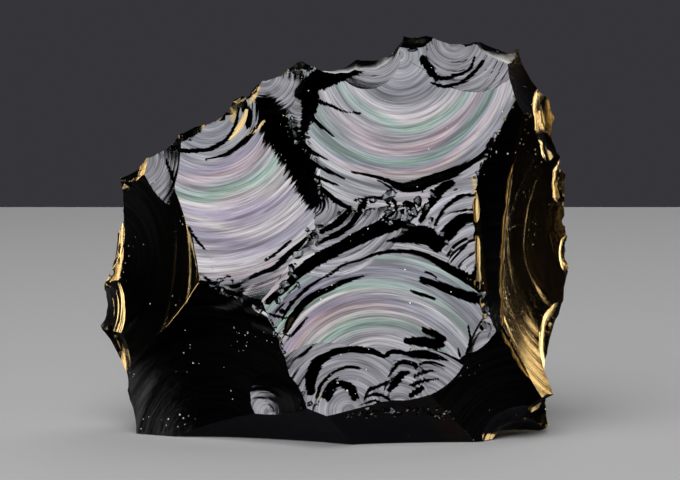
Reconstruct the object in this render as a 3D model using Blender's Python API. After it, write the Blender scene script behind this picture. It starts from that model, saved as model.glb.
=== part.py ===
"""A hand-sized chunk of obsidian, broken all over in shell-shaped scars.

The chunk is one solid. It starts as a block whose corners are the meeting points of the
scars, grown a little. Each scar is then cut from it by a hollow bowl: part of a sphere that
runs through the scar's own corners, turned about the point where the blow fell, so that
its ripples lie in rings round that point. The thin rim is cut scoop by scoop between the points
of the outline, and smaller chips are cut where the arrises have broken away.

X runs along the chunk, Y from its great rippled face (-Y) to its back (+Y), Z up.
The flat underside stands on Z = 0. Lengths in the tables are millimetres.
"""
import math

import bmesh
import bpy
import numpy as np
from mathutils import Matrix, Vector

NAME = "obsidian_chunk"
MM = 0.001
MIDDLE = (0.0, 0.0, 45.0)
BLOCK_GROWTH = 1.12
CUTTER_HEIGHT = 45.0
CHIP_CUTTER_HEIGHT = 25.0
RIM_CLEARANCE = 0.3
FIT_ROUNDS = 12
FIT_CUTOFF = 0.02

# Corners where scars meet on the rippled face.
CORNERS = {
    "ridge_top": (-10.7, -13.4, 83.8),
    "ridge_mid": (-7.7, -17.5, 70.1),
    "middle": (-0.7, -23.2, 57.0),
    "peak_right": (15.5, -21.5, 58.0),
    "ledge": (-7.4, -24.3, 47.9),
    "waist": (-16.8, -27.6, 35.1),
    "left_shoulder": (-32.1, -20.0, 37.3),
    "left_edge": (-35.8, -12.5, 55.7),
    "left_rim_top": (-43.3, -7.1, 70.7),
    "striped_left": (22.3, -22.0, 56.1),
    "striped_top": (33.0, -19.7, 64.7),
    "shoulder_mid": (37.9, -17.3, 71.3),
    "right_rim_top": (40.8, -12.3, 92.7),
    "notch_in": (43.0, -15.2, 81.9),
    "notch_out": (51.9, -0.7, 79.6),
    "right_waist": (35.1, -23.6, 39.0),
    "right_knee": (37.0, -26.3, 26.7),
    "toe_right": (17.4, -30.2, 11.2),
    "toe_left": (-7.9, -32.0, 11.5),
    "left_hip": (-47.1, -9.3, 22.3),
    "left_ankle": (-48.6, -8.4, 10.7),
    "left_toe": (-41.2, -11.5, 1.4),
    "band_top": (39.7, -16.6, 70.0),
    "band_mid": (38.0, -19.2, 49.5),
    "band_low": (39.0, -24.9, 28.7),
    "right_hip": (46.5, -17.7, 10.9),
    # Corners of the back.
    "back_top": (4.0, 6.0, 82.0),
    "back_left": (-30.0, 16.0, 52.0),
    "back_middle": (4.0, 23.0, 56.0),
    "back_right": (32.0, 20.0, 58.0),
    "back_low": (-6.0, 29.0, 24.0),
    "back_low_right": (34.0, 23.0, 22.0),
    # Corners of the flat underside.
    "base_left": (-38.0, 14.0, 0.0),
    "base_right": (40.0, 14.0, 0.0),
    "base_back": (0.0, 24.0, 0.0),
    "base_front_left": (-26.0, -17.0, 0.0),
    "base_front": (8.0, -25.0, 0.0),
    "base_front_right": (36.0, -19.0, 0.0),
    "base_side_left": (-46.0, 2.0, 0.0),
    "base_side_right": (45.0, 0.0, 0.0),
}

# The outline, clockwise from the lower left as seen from -Y.
RIM = (
    (-47.5, -6.0, 1.5), (-54.0, -1.0, 14.5), (-58.5, 4.0, 27.5), (-59.0, 6.0, 34.0),
    (-55.0, 5.0, 50.0), (-53.0, 3.0, 60.0), (-48.0, -3.0, 68.5), (-43.5, -7.0, 71.5),
    (-32.0, -8.0, 77.0), (-25.5, -8.5, 82.0), (-18.0, -9.5, 88.0), (-11.5, -10.0, 90.5),
    (-6.0, -11.0, 91.5), (2.0, -12.0, 90.0), (9.0, -12.0, 91.0), (15.0, -11.0, 95.5),
    (25.5, -9.5, 97.5), (35.5, -7.0, 98.0), (44.0, -3.0, 94.0), (52.0, 2.0, 84.5),
    (53.5, 6.0, 72.0), (56.5, 7.0, 65.0), (57.5, 8.0, 55.5), (58.5, 8.0, 48.0),
    (59.0, 8.0, 39.0), (55.5, 5.0, 30.0), (54.0, 0.0, 17.0), (51.0, -7.0, 8.0),
    (47.5, -13.0, 3.0), (41.0, -20.0, 1.5),
)
RIM_RADIUS_TO_CHORD = 1.3
RIM_TILTS = (0.4, -0.7)

# Great scars: corners, bowl radius, where the blow fell, ripple spacing and height, mesh step
# along the ring's radius and round the ring. "rim N" is point N of the outline.
SCARS = {
    "great_left": (("ridge_top", "ridge_mid", "middle", "ledge", "waist", "left_shoulder",
                    "left_edge", "left_rim_top", "rim 9"),
                   150, (-32, -7, 83), 4.6, 0.30, 1.7, 8.0),
    "great_right": (("ridge_top", "ridge_mid", "middle", "peak_right", "striped_left", "striped_top",
                     "shoulder_mid", "notch_in", "right_rim_top", "rim 14", "rim 16"),
                    135, (15.5, -9, 94), 4.8, 0.30, 1.7, 8.0),
    "great_low": (("waist", "ledge", "peak_right", "striped_left", "right_waist", "right_knee",
                   "toe_right", "toe_left"),
                  110, (10.5, -33, 12.5), 4.2, 0.30, 1.6, 7.0),
    "tongue": (("middle", "ledge", "peak_right"),
               90, (-2, -22, 60.5), 3.0, 0.12, 1.8, 5.0),
    "striped": (("striped_left", "striped_top", "right_waist"),
                80, (37, -24.5, 38.5), 3.2, 0.35, 1.2, 5.0),
    "low_left": (("waist", "left_shoulder", "left_hip", "left_ankle", "left_toe", "toe_left"),
                 130, (-30, -20, -4), 6.0, 0.22, 2.2, 8.0),
    "left_side": (("left_shoulder", "left_edge", "left_rim_top", "rim 2", "rim 4", "left_hip"),
                  80, (-58, 5, 42), 5.0, 0.25, 1.8, 8.0),
    "band": (("notch_in", "shoulder_mid", "striped_top", "right_waist", "right_knee", "band_low",
              "band_mid", "band_top"),
             120, (41, -22, 30), 5.0, 0.10, 3.0, 7.0),
    "right_side": (("notch_in", "notch_out", "rim 22", "rim 25", "right_hip", "band_low", "band_mid",
                    "band_top"),
                   130, (60, 8, 50), 6.0, 0.40, 1.9, 7.0),
    "top_right": (("right_rim_top", "notch_in", "notch_out", "rim 18"),
                  60, (47, 2, 92), 4.0, 0.10, 2.0, 5.0),
    "low_right": (("right_knee", "band_low", "toe_right", "right_hip", "rim 28", "rim 29"),
                  110, (45, -22, -3), 6.0, 0.15, 2.4, 9.0),
    "under_left": (("toe_left", "left_toe", "base_front_left", "base_front"),
                   120, (8, -36, 12), 4.0, 0.10, 4.0, 9.0),
    "under_right": (("toe_left", "toe_right", "rim 29", "base_front_right", "base_front"),
                    120, (30, -30, 6), 4.0, 0.10, 4.0, 9.0),
    "foot_left": (("rim 1", "rim 0", "base_left", "base_side_left"),
                  90, (-52, 0, 5), 5.0, 0.15, 3.0, 9.0),
    "foot_right": (("rim 26", "rim 28", "base_side_right", "base_right", "back_low_right"),
                   90, (54, 2, 5), 5.0, 0.15, 3.0, 9.0),
    "back_left": (("rim 2", "rim 5", "back_left", "back_low", "base_left"),
                  130, (-58, 8, 40), 6.0, 0.25, 2.5, 11.0),
    "back_top_left": (("rim 6", "rim 9", "rim 12", "back_top", "back_middle", "back_left"),
                      130, (-10, -4, 92), 6.0, 0.25, 2.5, 11.0),
    "back_top_right": (("rim 13", "rim 17", "rim 20", "back_right", "back_middle", "back_top"),
                       130, (28, -2, 98), 6.0, 0.25, 2.5, 11.0),
    "back_right": (("rim 21", "rim 25", "back_right", "back_low_right"),
                   110, (60, 12, 40), 6.0, 0.25, 2.5, 11.0),
    "back_middle": (("back_middle", "back_left", "back_low", "back_low_right", "back_right"),
                    160, (5, 30, 5), 6.0, 0.25, 2.5, 11.0),
    "back_low": (("back_low", "back_low_right", "base_back", "base_left", "base_right"),
                 120, (0, 25, -3), 6.0, 0.25, 2.5, 11.0),
}
# Scars at the edge are moved out until no point of the outline is cut away.
CLEAR_OF_RIM = ("left_side", "right_side", "top_right", "foot_left", "foot_right", "back_left",
                "back_top_left", "back_top_right", "back_right", "back_middle", "back_low")
# The exact solver loses the whole block at some of the great scars, such as under_left.
GREAT_SCAR_SOLVER = "MANIFOLD"
# The three great scars curl up at their far ends: distance from the blow, then rise per mm squared.
CURLS = {"great_left": (40.0, 0.008), "great_right": (36.0, 0.008), "great_low": (34.0, 0.010)}

# Chips: the great scar they break, their middle (x, z), facing (degrees round from -Y and up),
# width, height, hollow, depth below the great scar, roll, clock angle of the blow and how far out
# it fell in half sizes, ripple spacing and height.
CHIPS = {
    "ridge_left": ("great_left", (-15, 84), (-16, 20), (11, 10), 0.7, 0.5, 20, 330, 1.3, 2.0, 0.15),
    "ridge_right": ("great_left", (-9.5, 80), (2, 18), (5, 8), 0.5, 0.3, 10, 10, 1.3, 1.6, 0.12),
    "ledge_facet": ("great_right", (-2.5, 56.5), (-8, 16), (7, 6), 0.4, 0.5, 30, 300, 1.3, 1.6, 0.1),
    "shoulder_scar": ("left_side", (-44, 64), (-26, 16), (10, 18), 1.0, 1.6, 0, 300, 1.3, 2.2, 0.2),
    "toe_shell_1": ("great_low", (3.2, 12), (4, 20), (21, 20), 1.2, 0.5, 0, 180, 0.25, 2.4, 0.14),
    "toe_shell_2": ("great_low", (10.5, 9.5), (7, 18), (10, 8), 0.8, 0.6, 10, 185, 0.6, 2.0, 0.14),
    "toe_shell_3": ("great_low", (16, 14), (8, 20), (10, 12), 0.9, 0.5, -10, 190, 0.7, 2.0, 0.14),
    "toe_shell_4": ("great_low", (23.5, 16), (10, 20), (15, 11), 0.9, 0.5, -32, 200, 0.9, 2.0, 0.14),
    "knee_chip": ("great_low", (34.5, 26), (14, 4), (6, 16), 0.8, 0.4, -14, 150, 1.3, 2.4, 0.2),
    "toe_left_shell": ("low_left", (-16.5, 11), (-24, -2), (14, 11), 1.2, 0.6, -10, 200, 0.5, 2.2, 0.2),
    "left_rim_scar": ("left_side", (-56, 28), (-58, 12), (13.5, 17), 1.4, 0.4, 0, 270, 1.3, 2.6, 0.25),
    "left_notch": ("left_side", (-55, 48), (-72, 4), (9.5, 17), 1.2, 0.4, 0, 270, 1.3, 2.4, 0.2),
    "left_ankle_scar": ("left_side", (-52, 14.5), (-62, -14), (10.5, 14.5), 1.2, 0.5, 0, 230, 1.3, 2.4, 0.2),
    "top_scar": ("great_right", (29, 94.5), (2, 17), (18, 19), 1.2, 0.4, 0, 0, 0.4, 2.4, 0.2),
    "top_step": ("great_right", (10, 90), (-4, 22), (10.5, 10.5), 0.8, 0.3, 0, 350, 1.3, 2.4, 0.2),
    "right_upper_scar": ("right_side", (52.5, 73), (66, 12), (8, 22), 1.4, 0.5, 0, 30, 1.3, 2.6, 0.25),
    "right_lower_scar": ("right_side", (52.5, 22), (66, -6), (8, 24), 1.4, 0.5, 10, 120, 1.3, 2.6, 0.25),
    "foot_scar": ("low_right", (44, 5), (26, -34), (14.5, 10.5), 1.4, 0.4, 0, 160, 1.3, 2.4, 0.2),
}
CHIP_STEPS = (1.35, 4.4)
CHIP_REACH = 2.0

GLASS_COLOUR = (0.012, 0.012, 0.015, 1.0)
GLASS_ROUGHNESS = 0.08


def corner(name):
    """The named corner, or the numbered point of the outline."""
    if name.startswith("rim "):
        return np.array(RIM[int(name[4:])])
    return np.array(CORNERS[name])


def facing(azimuth, elevation):
    """Unit vector, in degrees round from -Y towards +X and up from level."""
    round_z = math.radians(azimuth)
    up = math.radians(elevation)
    return np.array([math.sin(round_z) * math.cos(up), -math.cos(round_z) * math.cos(up), math.sin(up)])


class Bowl:
    """Part of a sphere that hollows the rock, measured from the point where the blow fell."""

    def __init__(self, points, radius, blow, normal=None):
        points = np.array(points, float)
        self.middle = points.mean(0)
        if normal is None:
            normal = np.linalg.svd(points - self.middle)[2][2]
            if normal @ (self.middle - np.array(MIDDLE)) < 0:
                normal = -normal
        flat = (points - self.middle) - np.outer((points - self.middle) @ normal, normal)
        spread = (flat ** 2).sum(1).mean()
        self.normal = normal
        self.radius = radius
        self.centre = self.middle + normal * math.sqrt(radius ** 2 - spread)
        self.fit(points)
        self.stretch = None
        self.aim(blow)
        self.reach = max(self.distance(p) for p in points)

    def fit(self, points):
        """Move the centre until the sphere runs through the points as nearly as it can."""
        for _ in range(FIT_ROUNDS):
            away = points - self.centre
            length = np.linalg.norm(away, axis=1)
            move = np.linalg.lstsq(-away / length[:, None], self.radius - length, rcond=FIT_CUTOFF)[0]
            self.centre = self.centre + move

    def aim(self, blow):
        """Put the rings' own axis through the blow."""
        away = np.array(blow, float) - self.centre
        self.blow = self.centre + away / np.linalg.norm(away) * self.radius
        self.axis = (self.centre - self.blow) / self.radius
        across = self.middle - self.blow
        across = across - self.axis * (across @ self.axis)
        self.across = across / np.linalg.norm(across)
        self.side = np.cross(self.axis, self.across)

    def distance(self, point):
        """Length along the bowl from the blow to the point."""
        away = point - self.centre
        cosine = (away @ (self.blow - self.centre)) / np.linalg.norm(away) / self.radius
        return math.acos(max(-1.0, min(1.0, cosine))) * self.radius

    def move_out(self, points):
        """Move the bowl out of the rock until it cuts none of the points."""
        least = min(np.linalg.norm(np.array(p) - self.centre) - self.radius for p in points)
        step = max(0.0, RIM_CLEARANCE - least)
        self.centre = self.centre + self.normal * step
        self.blow = self.blow + self.normal * step

    def depth_at(self, x, z):
        """Y of the bowl's near side, seen from -Y."""
        square = self.radius ** 2 - (x - self.centre[0]) ** 2 - (z - self.centre[2]) ** 2
        return self.centre[1] + math.sqrt(max(square, 0.0))


def chip_bowl(middle, normal, size, hollow, roll, clock, blow_out):
    """A small bowl of its own facing, width and height."""
    up = np.array([0.0, 0.0, 1.0])
    up = up - normal * (up @ normal)
    up = up / np.linalg.norm(up)
    right = np.cross(up, normal)
    half = math.sqrt(size[0] * size[1]) / 2
    radius = (half ** 2 + hollow ** 2) / (2 * hollow)
    angles = np.linspace(0, 2 * math.pi, 12, endpoint=False)
    ring = [middle + half * (math.cos(a) * right + math.sin(a) * up) for a in angles]
    turn = math.radians(clock)
    blow = middle + half * blow_out * (math.sin(turn) * right + math.cos(turn) * up)
    bowl = Bowl(ring, radius, blow, normal)
    bowl.reach = half * CHIP_REACH
    lean = math.radians(roll)
    along = math.cos(lean) * right + math.sin(lean) * up
    bowl.stretch = (along, np.cross(normal, along), math.sqrt(size[0] / size[1]))
    return bowl


def drift(distance, angle, seed, length, swing):
    """Slow seeded change along the radius and round the ring, about -1 to 1."""
    dice = np.random.default_rng(seed)
    total = 0
    waves = 4
    for _ in range(waves):
        rate = dice.uniform(0.5, 1.5) / length
        phase = dice.uniform(0, 2 * math.pi)
        a, b = dice.normal(0, swing, 2)
        total = total + np.sin(2 * math.pi * rate * distance + a * np.cos(angle) + b * np.sin(angle) + phase)
    return total / math.sqrt(waves)


def ripple(distance, angle, spacing, height, seed):
    """Height of the rings: gentle on the blow's side, steep beyond, growing away from the blow."""
    slow = drift(distance, angle, seed, 45, 1.2)
    quick = drift(distance, angle, seed + 50, 20, 2.0)
    turn = 2 * math.pi * (distance / spacing + 0.5 * slow)
    wave = 0.6 * np.sin(turn) + 0.2 * np.sin(2 * turn)
    growth = np.clip(distance / (spacing * 4), 0.2, 1)
    return height * growth * (0.75 + 0.35 * quick) * wave


def bowl_cutter(name, bowl, heights, step, ring_step, tall):
    """Turn the bowl's section about the blow and close it above, then raise its ripples."""
    reach = bowl.reach * 1.06 + 2 * step
    rings = max(3, int(reach / step))
    steps = max(12, int(2 * math.pi * reach * 0.62 / ring_step))
    edge = reach / bowl.radius
    top = bowl.radius * (1 - math.cos(edge)) + tall
    section = []
    for ring in range(rings + 1):
        angle = edge * ring / rings
        section.append((bowl.radius * math.sin(angle), 0, bowl.radius * (1 - math.cos(angle))))
    section += [(section[-1][0], 0, top), (0, 0, top)]
    bm = bmesh.new()
    points = [bm.verts.new(p) for p in section]
    lines = [bm.edges.new(pair) for pair in zip(points[:-1], points[1:])]
    bmesh.ops.spin(bm, geom=points + lines, cent=(0, 0, 0), axis=(0, 0, 1), dvec=(0, 0, 0),
                   angle=2 * math.pi, steps=steps, use_merge=True)
    bmesh.ops.remove_doubles(bm, verts=bm.verts, dist=0.001)
    bmesh.ops.recalc_face_normals(bm, faces=bm.faces)
    raise_ripples(bm, bowl, heights, top)
    frame = np.stack([bowl.across, bowl.side, bowl.axis], 1)
    for vert in bm.verts:
        place = frame @ np.array(vert.co) + bowl.blow
        vert.co = Vector(stretched(place, bowl)) * MM
    return mesh_object(name, bm)


def raise_ripples(bm, bowl, heights, top):
    """Lift the bowl's own points towards the sphere's centre by the height of the ripples."""
    centre = Vector((0, 0, bowl.radius))
    for vert in bm.verts:
        if vert.co.z > top - 0.001:
            continue
        away = vert.co - centre
        distance = bowl.radius * math.acos(max(-1.0, min(1.0, -away.z / bowl.radius)))
        angle = math.atan2(vert.co.y, vert.co.x)
        lift = float(heights(distance, angle))
        vert.co = centre + away * ((bowl.radius - lift) / bowl.radius)


def stretched(place, bowl):
    """A chip's bowl is drawn out along its own length and narrowed across it."""
    if bowl.stretch is None:
        return place
    along, across, ratio = bowl.stretch
    away = place - bowl.middle
    return place + along * (away @ along) * (ratio - 1) + across * (away @ across) * (1 / ratio - 1)


def mesh_object(name, bm):
    """An object of its own from the bmesh, which is freed."""
    mesh = bpy.data.meshes.new(name)
    bm.to_mesh(mesh)
    bm.free()
    return bpy.data.objects.new(name, mesh)


def grown_block():
    """The block before it is broken: the hull of all corners, grown about the chunk's middle."""
    bm = bmesh.new()
    middle = Vector(MIDDLE)
    for place in list(CORNERS.values()) + list(RIM):
        grown = middle + (Vector(place) - middle) * BLOCK_GROWTH
        grown.z = max(grown.z, 0.0)
        bm.verts.new(grown * MM)
    bmesh.ops.convex_hull(bm, input=bm.verts)
    bmesh.ops.delete(bm, geom=[v for v in bm.verts if not v.link_faces], context="VERTS")
    bmesh.ops.recalc_face_normals(bm, faces=bm.faces)
    return mesh_object(NAME, bm)


def rim_scoop(index):
    """A shallow ball-shaped scoop between two neighbouring points of the outline."""
    start = Vector(RIM[index])
    end = Vector(RIM[index + 1])
    middle = (start + end) / 2
    chord = (end - start).length
    out = Vector((start.z - end.z, 0, end.x - start.x)).normalized()
    if out.dot(middle - Vector(MIDDLE)) < 0:
        out.negate()
    out = (out + Vector((0, RIM_TILTS[index % 2], 0))).normalized()
    radius = chord * RIM_RADIUS_TO_CHORD
    centre = middle + out * math.sqrt(radius ** 2 - chord ** 2 / 4)
    bm = bmesh.new()
    bmesh.ops.create_icosphere(bm, subdivisions=3, radius=radius * MM, matrix=Matrix.Translation(centre * MM))
    return mesh_object("rim_scoop_%02d" % index, bm)


def great_bowls():
    """The bowl of each great scar, by name."""
    bowls = {}
    for name, (corners, radius, blow, *_rest) in SCARS.items():
        bowls[name] = Bowl([corner(c) for c in corners], radius, blow)
        if name in CLEAR_OF_RIM:
            bowls[name].move_out(RIM)
    return bowls


def scar_cutter(name, bowl, seed):
    """Cutter of a great scar, with its ripples and the curl at its far end."""
    _corners, _radius, _blow, spacing, height, step, ring_step = SCARS[name]
    curl_start, curl = CURLS.get(name, (0.0, 0.0))

    def heights(distance, angle):
        rise = curl * max(distance - curl_start, 0.0) ** 2
        return ripple(distance, angle, spacing, height, seed) + rise

    return bowl_cutter("scar_" + name, bowl, heights, step, ring_step, CUTTER_HEIGHT)


def chip_cutter(name, bowls, seed):
    """Cutter of a smaller chip on one of the great scars."""
    parent, (x, z), aim, size, hollow, sink, roll, clock, blow_out, spacing, height = CHIPS[name]
    normal = facing(*aim)
    middle = np.array([x, bowls[parent].depth_at(x, z), z]) - normal * sink
    bowl = chip_bowl(middle, normal, size, hollow, roll, clock, blow_out)

    def heights(distance, angle):
        return ripple(distance, angle, spacing, height, seed)

    return bowl_cutter("chip_" + name, bowl, heights, *CHIP_STEPS, CHIP_CUTTER_HEIGHT)


def collection(name):
    """A new collection in the scene."""
    made = bpy.data.collections.new(name)
    bpy.context.scene.collection.children.link(made)
    return made


def cut(body, cutter, cutters, solver="EXACT"):
    """Cut the body with a cutter that stays in the cutters' collection."""
    cutters.objects.link(cutter)
    cutter.hide_render = True
    cutter.display_type = "WIRE"
    boolean = body.modifiers.new(cutter.name, "BOOLEAN")
    boolean.operation = "DIFFERENCE"
    boolean.solver = solver
    boolean.object = cutter


def glass():
    """Black volcanic glass."""
    material = bpy.data.materials.new("obsidian")
    material.use_nodes = True
    shader = material.node_tree.nodes["Principled BSDF"]
    shader.inputs["Base Color"].default_value = GLASS_COLOUR
    shader.inputs["Roughness"].default_value = GLASS_ROUGHNESS
    shader.inputs["Metallic"].default_value = 0.0
    return material


def main():
    """Break the block into the chunk."""
    for old in list(bpy.data.objects):
        bpy.data.objects.remove(old)
    parts = collection(NAME)
    cutters = collection("cutters")
    body = grown_block()
    parts.objects.link(body)
    body.data.materials.append(glass())
    bowls = great_bowls()
    for index in range(len(RIM) - 1):
        cut(body, rim_scoop(index), cutters)
    for seed, name in enumerate(CHIPS):
        cut(body, chip_cutter(name, bowls, 400 + 11 * seed), cutters)
    for seed, name in enumerate(SCARS):
        cut(body, scar_cutter(name, bowls[name], 1 + 7 * seed), cutters, GREAT_SCAR_SOLVER)


main()
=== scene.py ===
"""The looks of the obsidian chunk: its broken glass surface in full detail, and a small studio.

The chunk is made as its solid is: a block cut by the hollow bowls of its scars. Here the bowls carry
fine ripples and small scarps, and the rim and arrises are nicked. Every piece of surface remembers
the scar that made it, so its colours and fine lines can follow that scar's rings.

X runs along the chunk, Y from its rippled face (-Y) to its back, Z up. Tables are in millimetres.
"""
import math

import bmesh
import bpy
import numpy as np
from mathutils import Matrix, Vector

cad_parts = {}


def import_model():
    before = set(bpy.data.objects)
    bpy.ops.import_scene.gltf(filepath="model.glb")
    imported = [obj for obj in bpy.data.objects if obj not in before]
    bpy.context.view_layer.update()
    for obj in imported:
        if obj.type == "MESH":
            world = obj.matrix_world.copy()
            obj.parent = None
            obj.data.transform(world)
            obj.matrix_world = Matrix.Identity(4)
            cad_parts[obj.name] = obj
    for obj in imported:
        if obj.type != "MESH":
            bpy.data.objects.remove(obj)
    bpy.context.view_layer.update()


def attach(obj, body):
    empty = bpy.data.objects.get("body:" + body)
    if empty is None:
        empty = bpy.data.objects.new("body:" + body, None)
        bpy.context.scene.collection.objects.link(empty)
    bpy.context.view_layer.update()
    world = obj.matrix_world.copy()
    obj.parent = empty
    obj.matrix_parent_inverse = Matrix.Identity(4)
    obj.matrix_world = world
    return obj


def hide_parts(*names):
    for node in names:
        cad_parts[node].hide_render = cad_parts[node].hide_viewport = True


NODE = "obsidian_chunk"
MM = 0.001
FULL_TURN = 2 * math.pi
MIDDLE = (0.0, 0.0, 45.0)
BLOCK_GROWTH = 1.12
CUTTER_HEIGHT = 45.0
CHIP_CUTTER_HEIGHT = 25.0
CHIP_REACH = 2.0
RIM_CLEARANCE = 0.3
FIT_ROUNDS = 12
FIT_CUTOFF = 0.02
ARRIS_ROUNDS = 30
FINEST_RIPPLE = 0.95
# Cutters: how far past its scar one reaches, where along the reach the mesh step is measured, half
# the angle (radians) that holds rock, and the angle step behind the blow.
REACH_MARGIN = 1.06
MID_REACH = 0.62
ROCK_SIDE = 2.0
FAR_STEP = 0.14
# Seeds of the random draws.
NICK_SEED = 5
NICK_SHAPE_SEED = 9
GROOVE_SEED = 60
GLINT_SEED = 77
CHIP_SEED = 400
SCOOP_SEED = 700
BAND_SEED = 900
# Numbers that the faces carry: great scars from 0, chips, rim scoops, nicks and grooves.
BARE_BLOCK = -1
FIRST_CHIP = 50
FIRST_SCOOP = 100
NICK = 300
GROOVE = 301

# The photograph's camera: what it looks at, how far away and how high it stands, and its scale.
AIM = (1.0, 0.0, 47.5)
CAMERA_DISTANCE = 700.0
CAMERA_ELEVATION = 6.0
PIXELS_PER_MM = 4.0
IMAGE_WIDTH = 680
IMAGE_HEIGHT = 480

# Corners where scars meet on the rippled face.
CORNERS = {
    "ridge_top": (-10.7, -13.4, 83.8),
    "ridge_mid": (-7.7, -17.5, 70.1),
    "middle": (-0.7, -23.2, 57.0),
    "peak_right": (15.5, -21.5, 58.0),
    "ledge": (-7.4, -24.3, 47.9),
    "waist": (-16.8, -27.6, 35.1),
    "left_shoulder": (-32.1, -20.0, 37.3),
    "left_edge": (-35.8, -12.5, 55.7),
    "left_rim_top": (-43.3, -7.1, 70.7),
    "striped_left": (22.3, -22.0, 56.1),
    "striped_top": (33.0, -19.7, 64.7),
    "shoulder_mid": (37.9, -17.3, 71.3),
    "right_rim_top": (40.8, -12.3, 92.7),
    "notch_in": (43.0, -15.2, 81.9),
    "notch_out": (51.9, -0.7, 79.6),
    "right_waist": (35.1, -23.6, 39.0),
    "right_knee": (37.0, -26.3, 26.7),
    "toe_right": (17.4, -30.2, 11.2),
    "toe_left": (-7.9, -32.0, 11.5),
    "left_hip": (-47.1, -9.3, 22.3),
    "left_ankle": (-48.6, -8.4, 10.7),
    "left_toe": (-41.2, -11.5, 1.4),
    "band_top": (39.7, -16.6, 70.0),
    "band_mid": (38.0, -19.2, 49.5),
    "band_low": (39.0, -24.9, 28.7),
    "right_hip": (46.5, -17.7, 10.9),
    # Corners of the back.
    "back_top": (4.0, 6.0, 82.0),
    "back_left": (-30.0, 16.0, 52.0),
    "back_middle": (4.0, 23.0, 56.0),
    "back_right": (32.0, 20.0, 58.0),
    "back_low": (-6.0, 29.0, 24.0),
    "back_low_right": (34.0, 23.0, 22.0),
    # Corners of the flat underside.
    "base_left": (-38.0, 14.0, 0.0),
    "base_right": (40.0, 14.0, 0.0),
    "base_back": (0.0, 24.0, 0.0),
    "base_front_left": (-26.0, -17.0, 0.0),
    "base_front": (8.0, -25.0, 0.0),
    "base_front_right": (36.0, -19.0, 0.0),
    "base_side_left": (-46.0, 2.0, 0.0),
    "base_side_right": (45.0, 0.0, 0.0),
}

# The outline, clockwise from the lower left as seen from -Y.
RIM = (
    (-47.5, -6.0, 1.5), (-54.0, -1.0, 14.5), (-58.5, 4.0, 27.5), (-59.0, 6.0, 34.0),
    (-55.0, 5.0, 50.0), (-53.0, 3.0, 60.0), (-48.0, -3.0, 68.5), (-43.5, -7.0, 71.5),
    (-32.0, -8.0, 77.0), (-25.5, -8.5, 82.0), (-18.0, -9.5, 88.0), (-11.5, -10.0, 90.5),
    (-6.0, -11.0, 91.5), (2.0, -12.0, 90.0), (9.0, -12.0, 91.0), (15.0, -11.0, 95.5),
    (25.5, -9.5, 97.5), (35.5, -7.0, 98.0), (44.0, -3.0, 94.0), (52.0, 2.0, 84.5),
    (53.5, 6.0, 72.0), (56.5, 7.0, 65.0), (57.5, 8.0, 55.5), (58.5, 8.0, 48.0),
    (59.0, 8.0, 39.0), (55.5, 5.0, 30.0), (54.0, 0.0, 17.0), (51.0, -7.0, 8.0),
    (47.5, -13.0, 3.0), (41.0, -20.0, 1.5),
)
RIM_STRETCHES = range(len(RIM) - 1)
RIM_RADIUS_TO_CHORD = 1.3
RIM_TILTS = (0.4, -0.7)
RIM_LEANS = (-3.5, -2.0, -1.0, 0.6)
SCOOP_WAVE = 0.12

# Great scars: corners, bowl radius, where the blow fell, ripple spacing. "rim N" is point N of the
# outline.
SCARS = {
    "great_left": (("ridge_top", "ridge_mid", "middle", "ledge", "waist", "left_shoulder",
         "left_edge", "left_rim_top", "rim 9"), 150, (-32, -7, 83), 4.6),
    "great_right": (("ridge_top", "ridge_mid", "middle", "peak_right", "striped_left",
         "striped_top", "shoulder_mid", "notch_in", "right_rim_top", "rim 14", "rim 16"),
        135, (15.5, -9, 94), 4.8),
    "great_low": (("waist", "ledge", "peak_right", "striped_left", "right_waist", "right_knee",
         "toe_right", "toe_left"), 110, (10.5, -33, 12.5), 4.2),
    "tongue": (("middle", "ledge", "peak_right"), 90, (-2, -22, 60.5), 3.0),
    "striped": (("striped_left", "striped_top", "right_waist"), 80, (37, -24.5, 38.5), 3.2),
    "low_left": (("waist", "left_shoulder", "left_hip", "left_ankle", "left_toe", "toe_left"),
        130, (-30, -20, -4), 6.0),
    "left_side": (("left_shoulder", "left_edge", "left_rim_top", "rim 2", "rim 4", "left_hip"),
        80, (-58, 5, 42), 5.0),
    "band": (("notch_in", "shoulder_mid", "striped_top", "right_waist", "right_knee", "band_low",
         "band_mid", "band_top"), 120, (41, -22, 30), 5.0),
    "right_side": (("notch_in", "notch_out", "rim 22", "rim 25", "right_hip", "band_low",
         "band_mid", "band_top"), 130, (60, 8, 50), 6.0),
    "top_right": (("right_rim_top", "notch_in", "notch_out", "rim 18"), 60, (47, 2, 92), 4.0),
    "low_right": (("right_knee", "band_low", "toe_right", "right_hip", "rim 28", "rim 29"),
        110, (45, -22, -3), 6.0),
    "under_left": (("toe_left", "left_toe", "base_front_left", "base_front"),
        120, (8, -36, 12), 4.0),
    "under_right": (("toe_left", "toe_right", "rim 29", "base_front_right", "base_front"),
        120, (30, -30, 6), 4.0),
    "foot_left": (("rim 1", "rim 0", "base_left", "base_side_left"), 90, (-52, 0, 5), 5.0),
    "foot_right": (("rim 26", "rim 28", "base_side_right", "base_right", "back_low_right"),
        90, (54, 2, 5), 5.0),
    "back_left": (("rim 2", "rim 5", "back_left", "back_low", "base_left"), 130, (-58, 8, 40), 6.0),
    "back_top_left": (("rim 6", "rim 9", "rim 12", "back_top", "back_middle", "back_left"),
        130, (-10, -4, 92), 6.0),
    "back_top_right": (("rim 13", "rim 17", "rim 20", "back_right", "back_middle", "back_top"),
        130, (28, -2, 98), 6.0),
    "back_right": (("rim 21", "rim 25", "back_right", "back_low_right"), 110, (60, 12, 40), 6.0),
    "back_middle": (("back_middle", "back_left", "back_low", "back_low_right", "back_right"),
        160, (5, 30, 5), 6.0),
    "back_low": (("back_low", "back_low_right", "base_back", "base_left", "base_right"),
        120, (0, 25, -3), 6.0),
}
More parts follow.
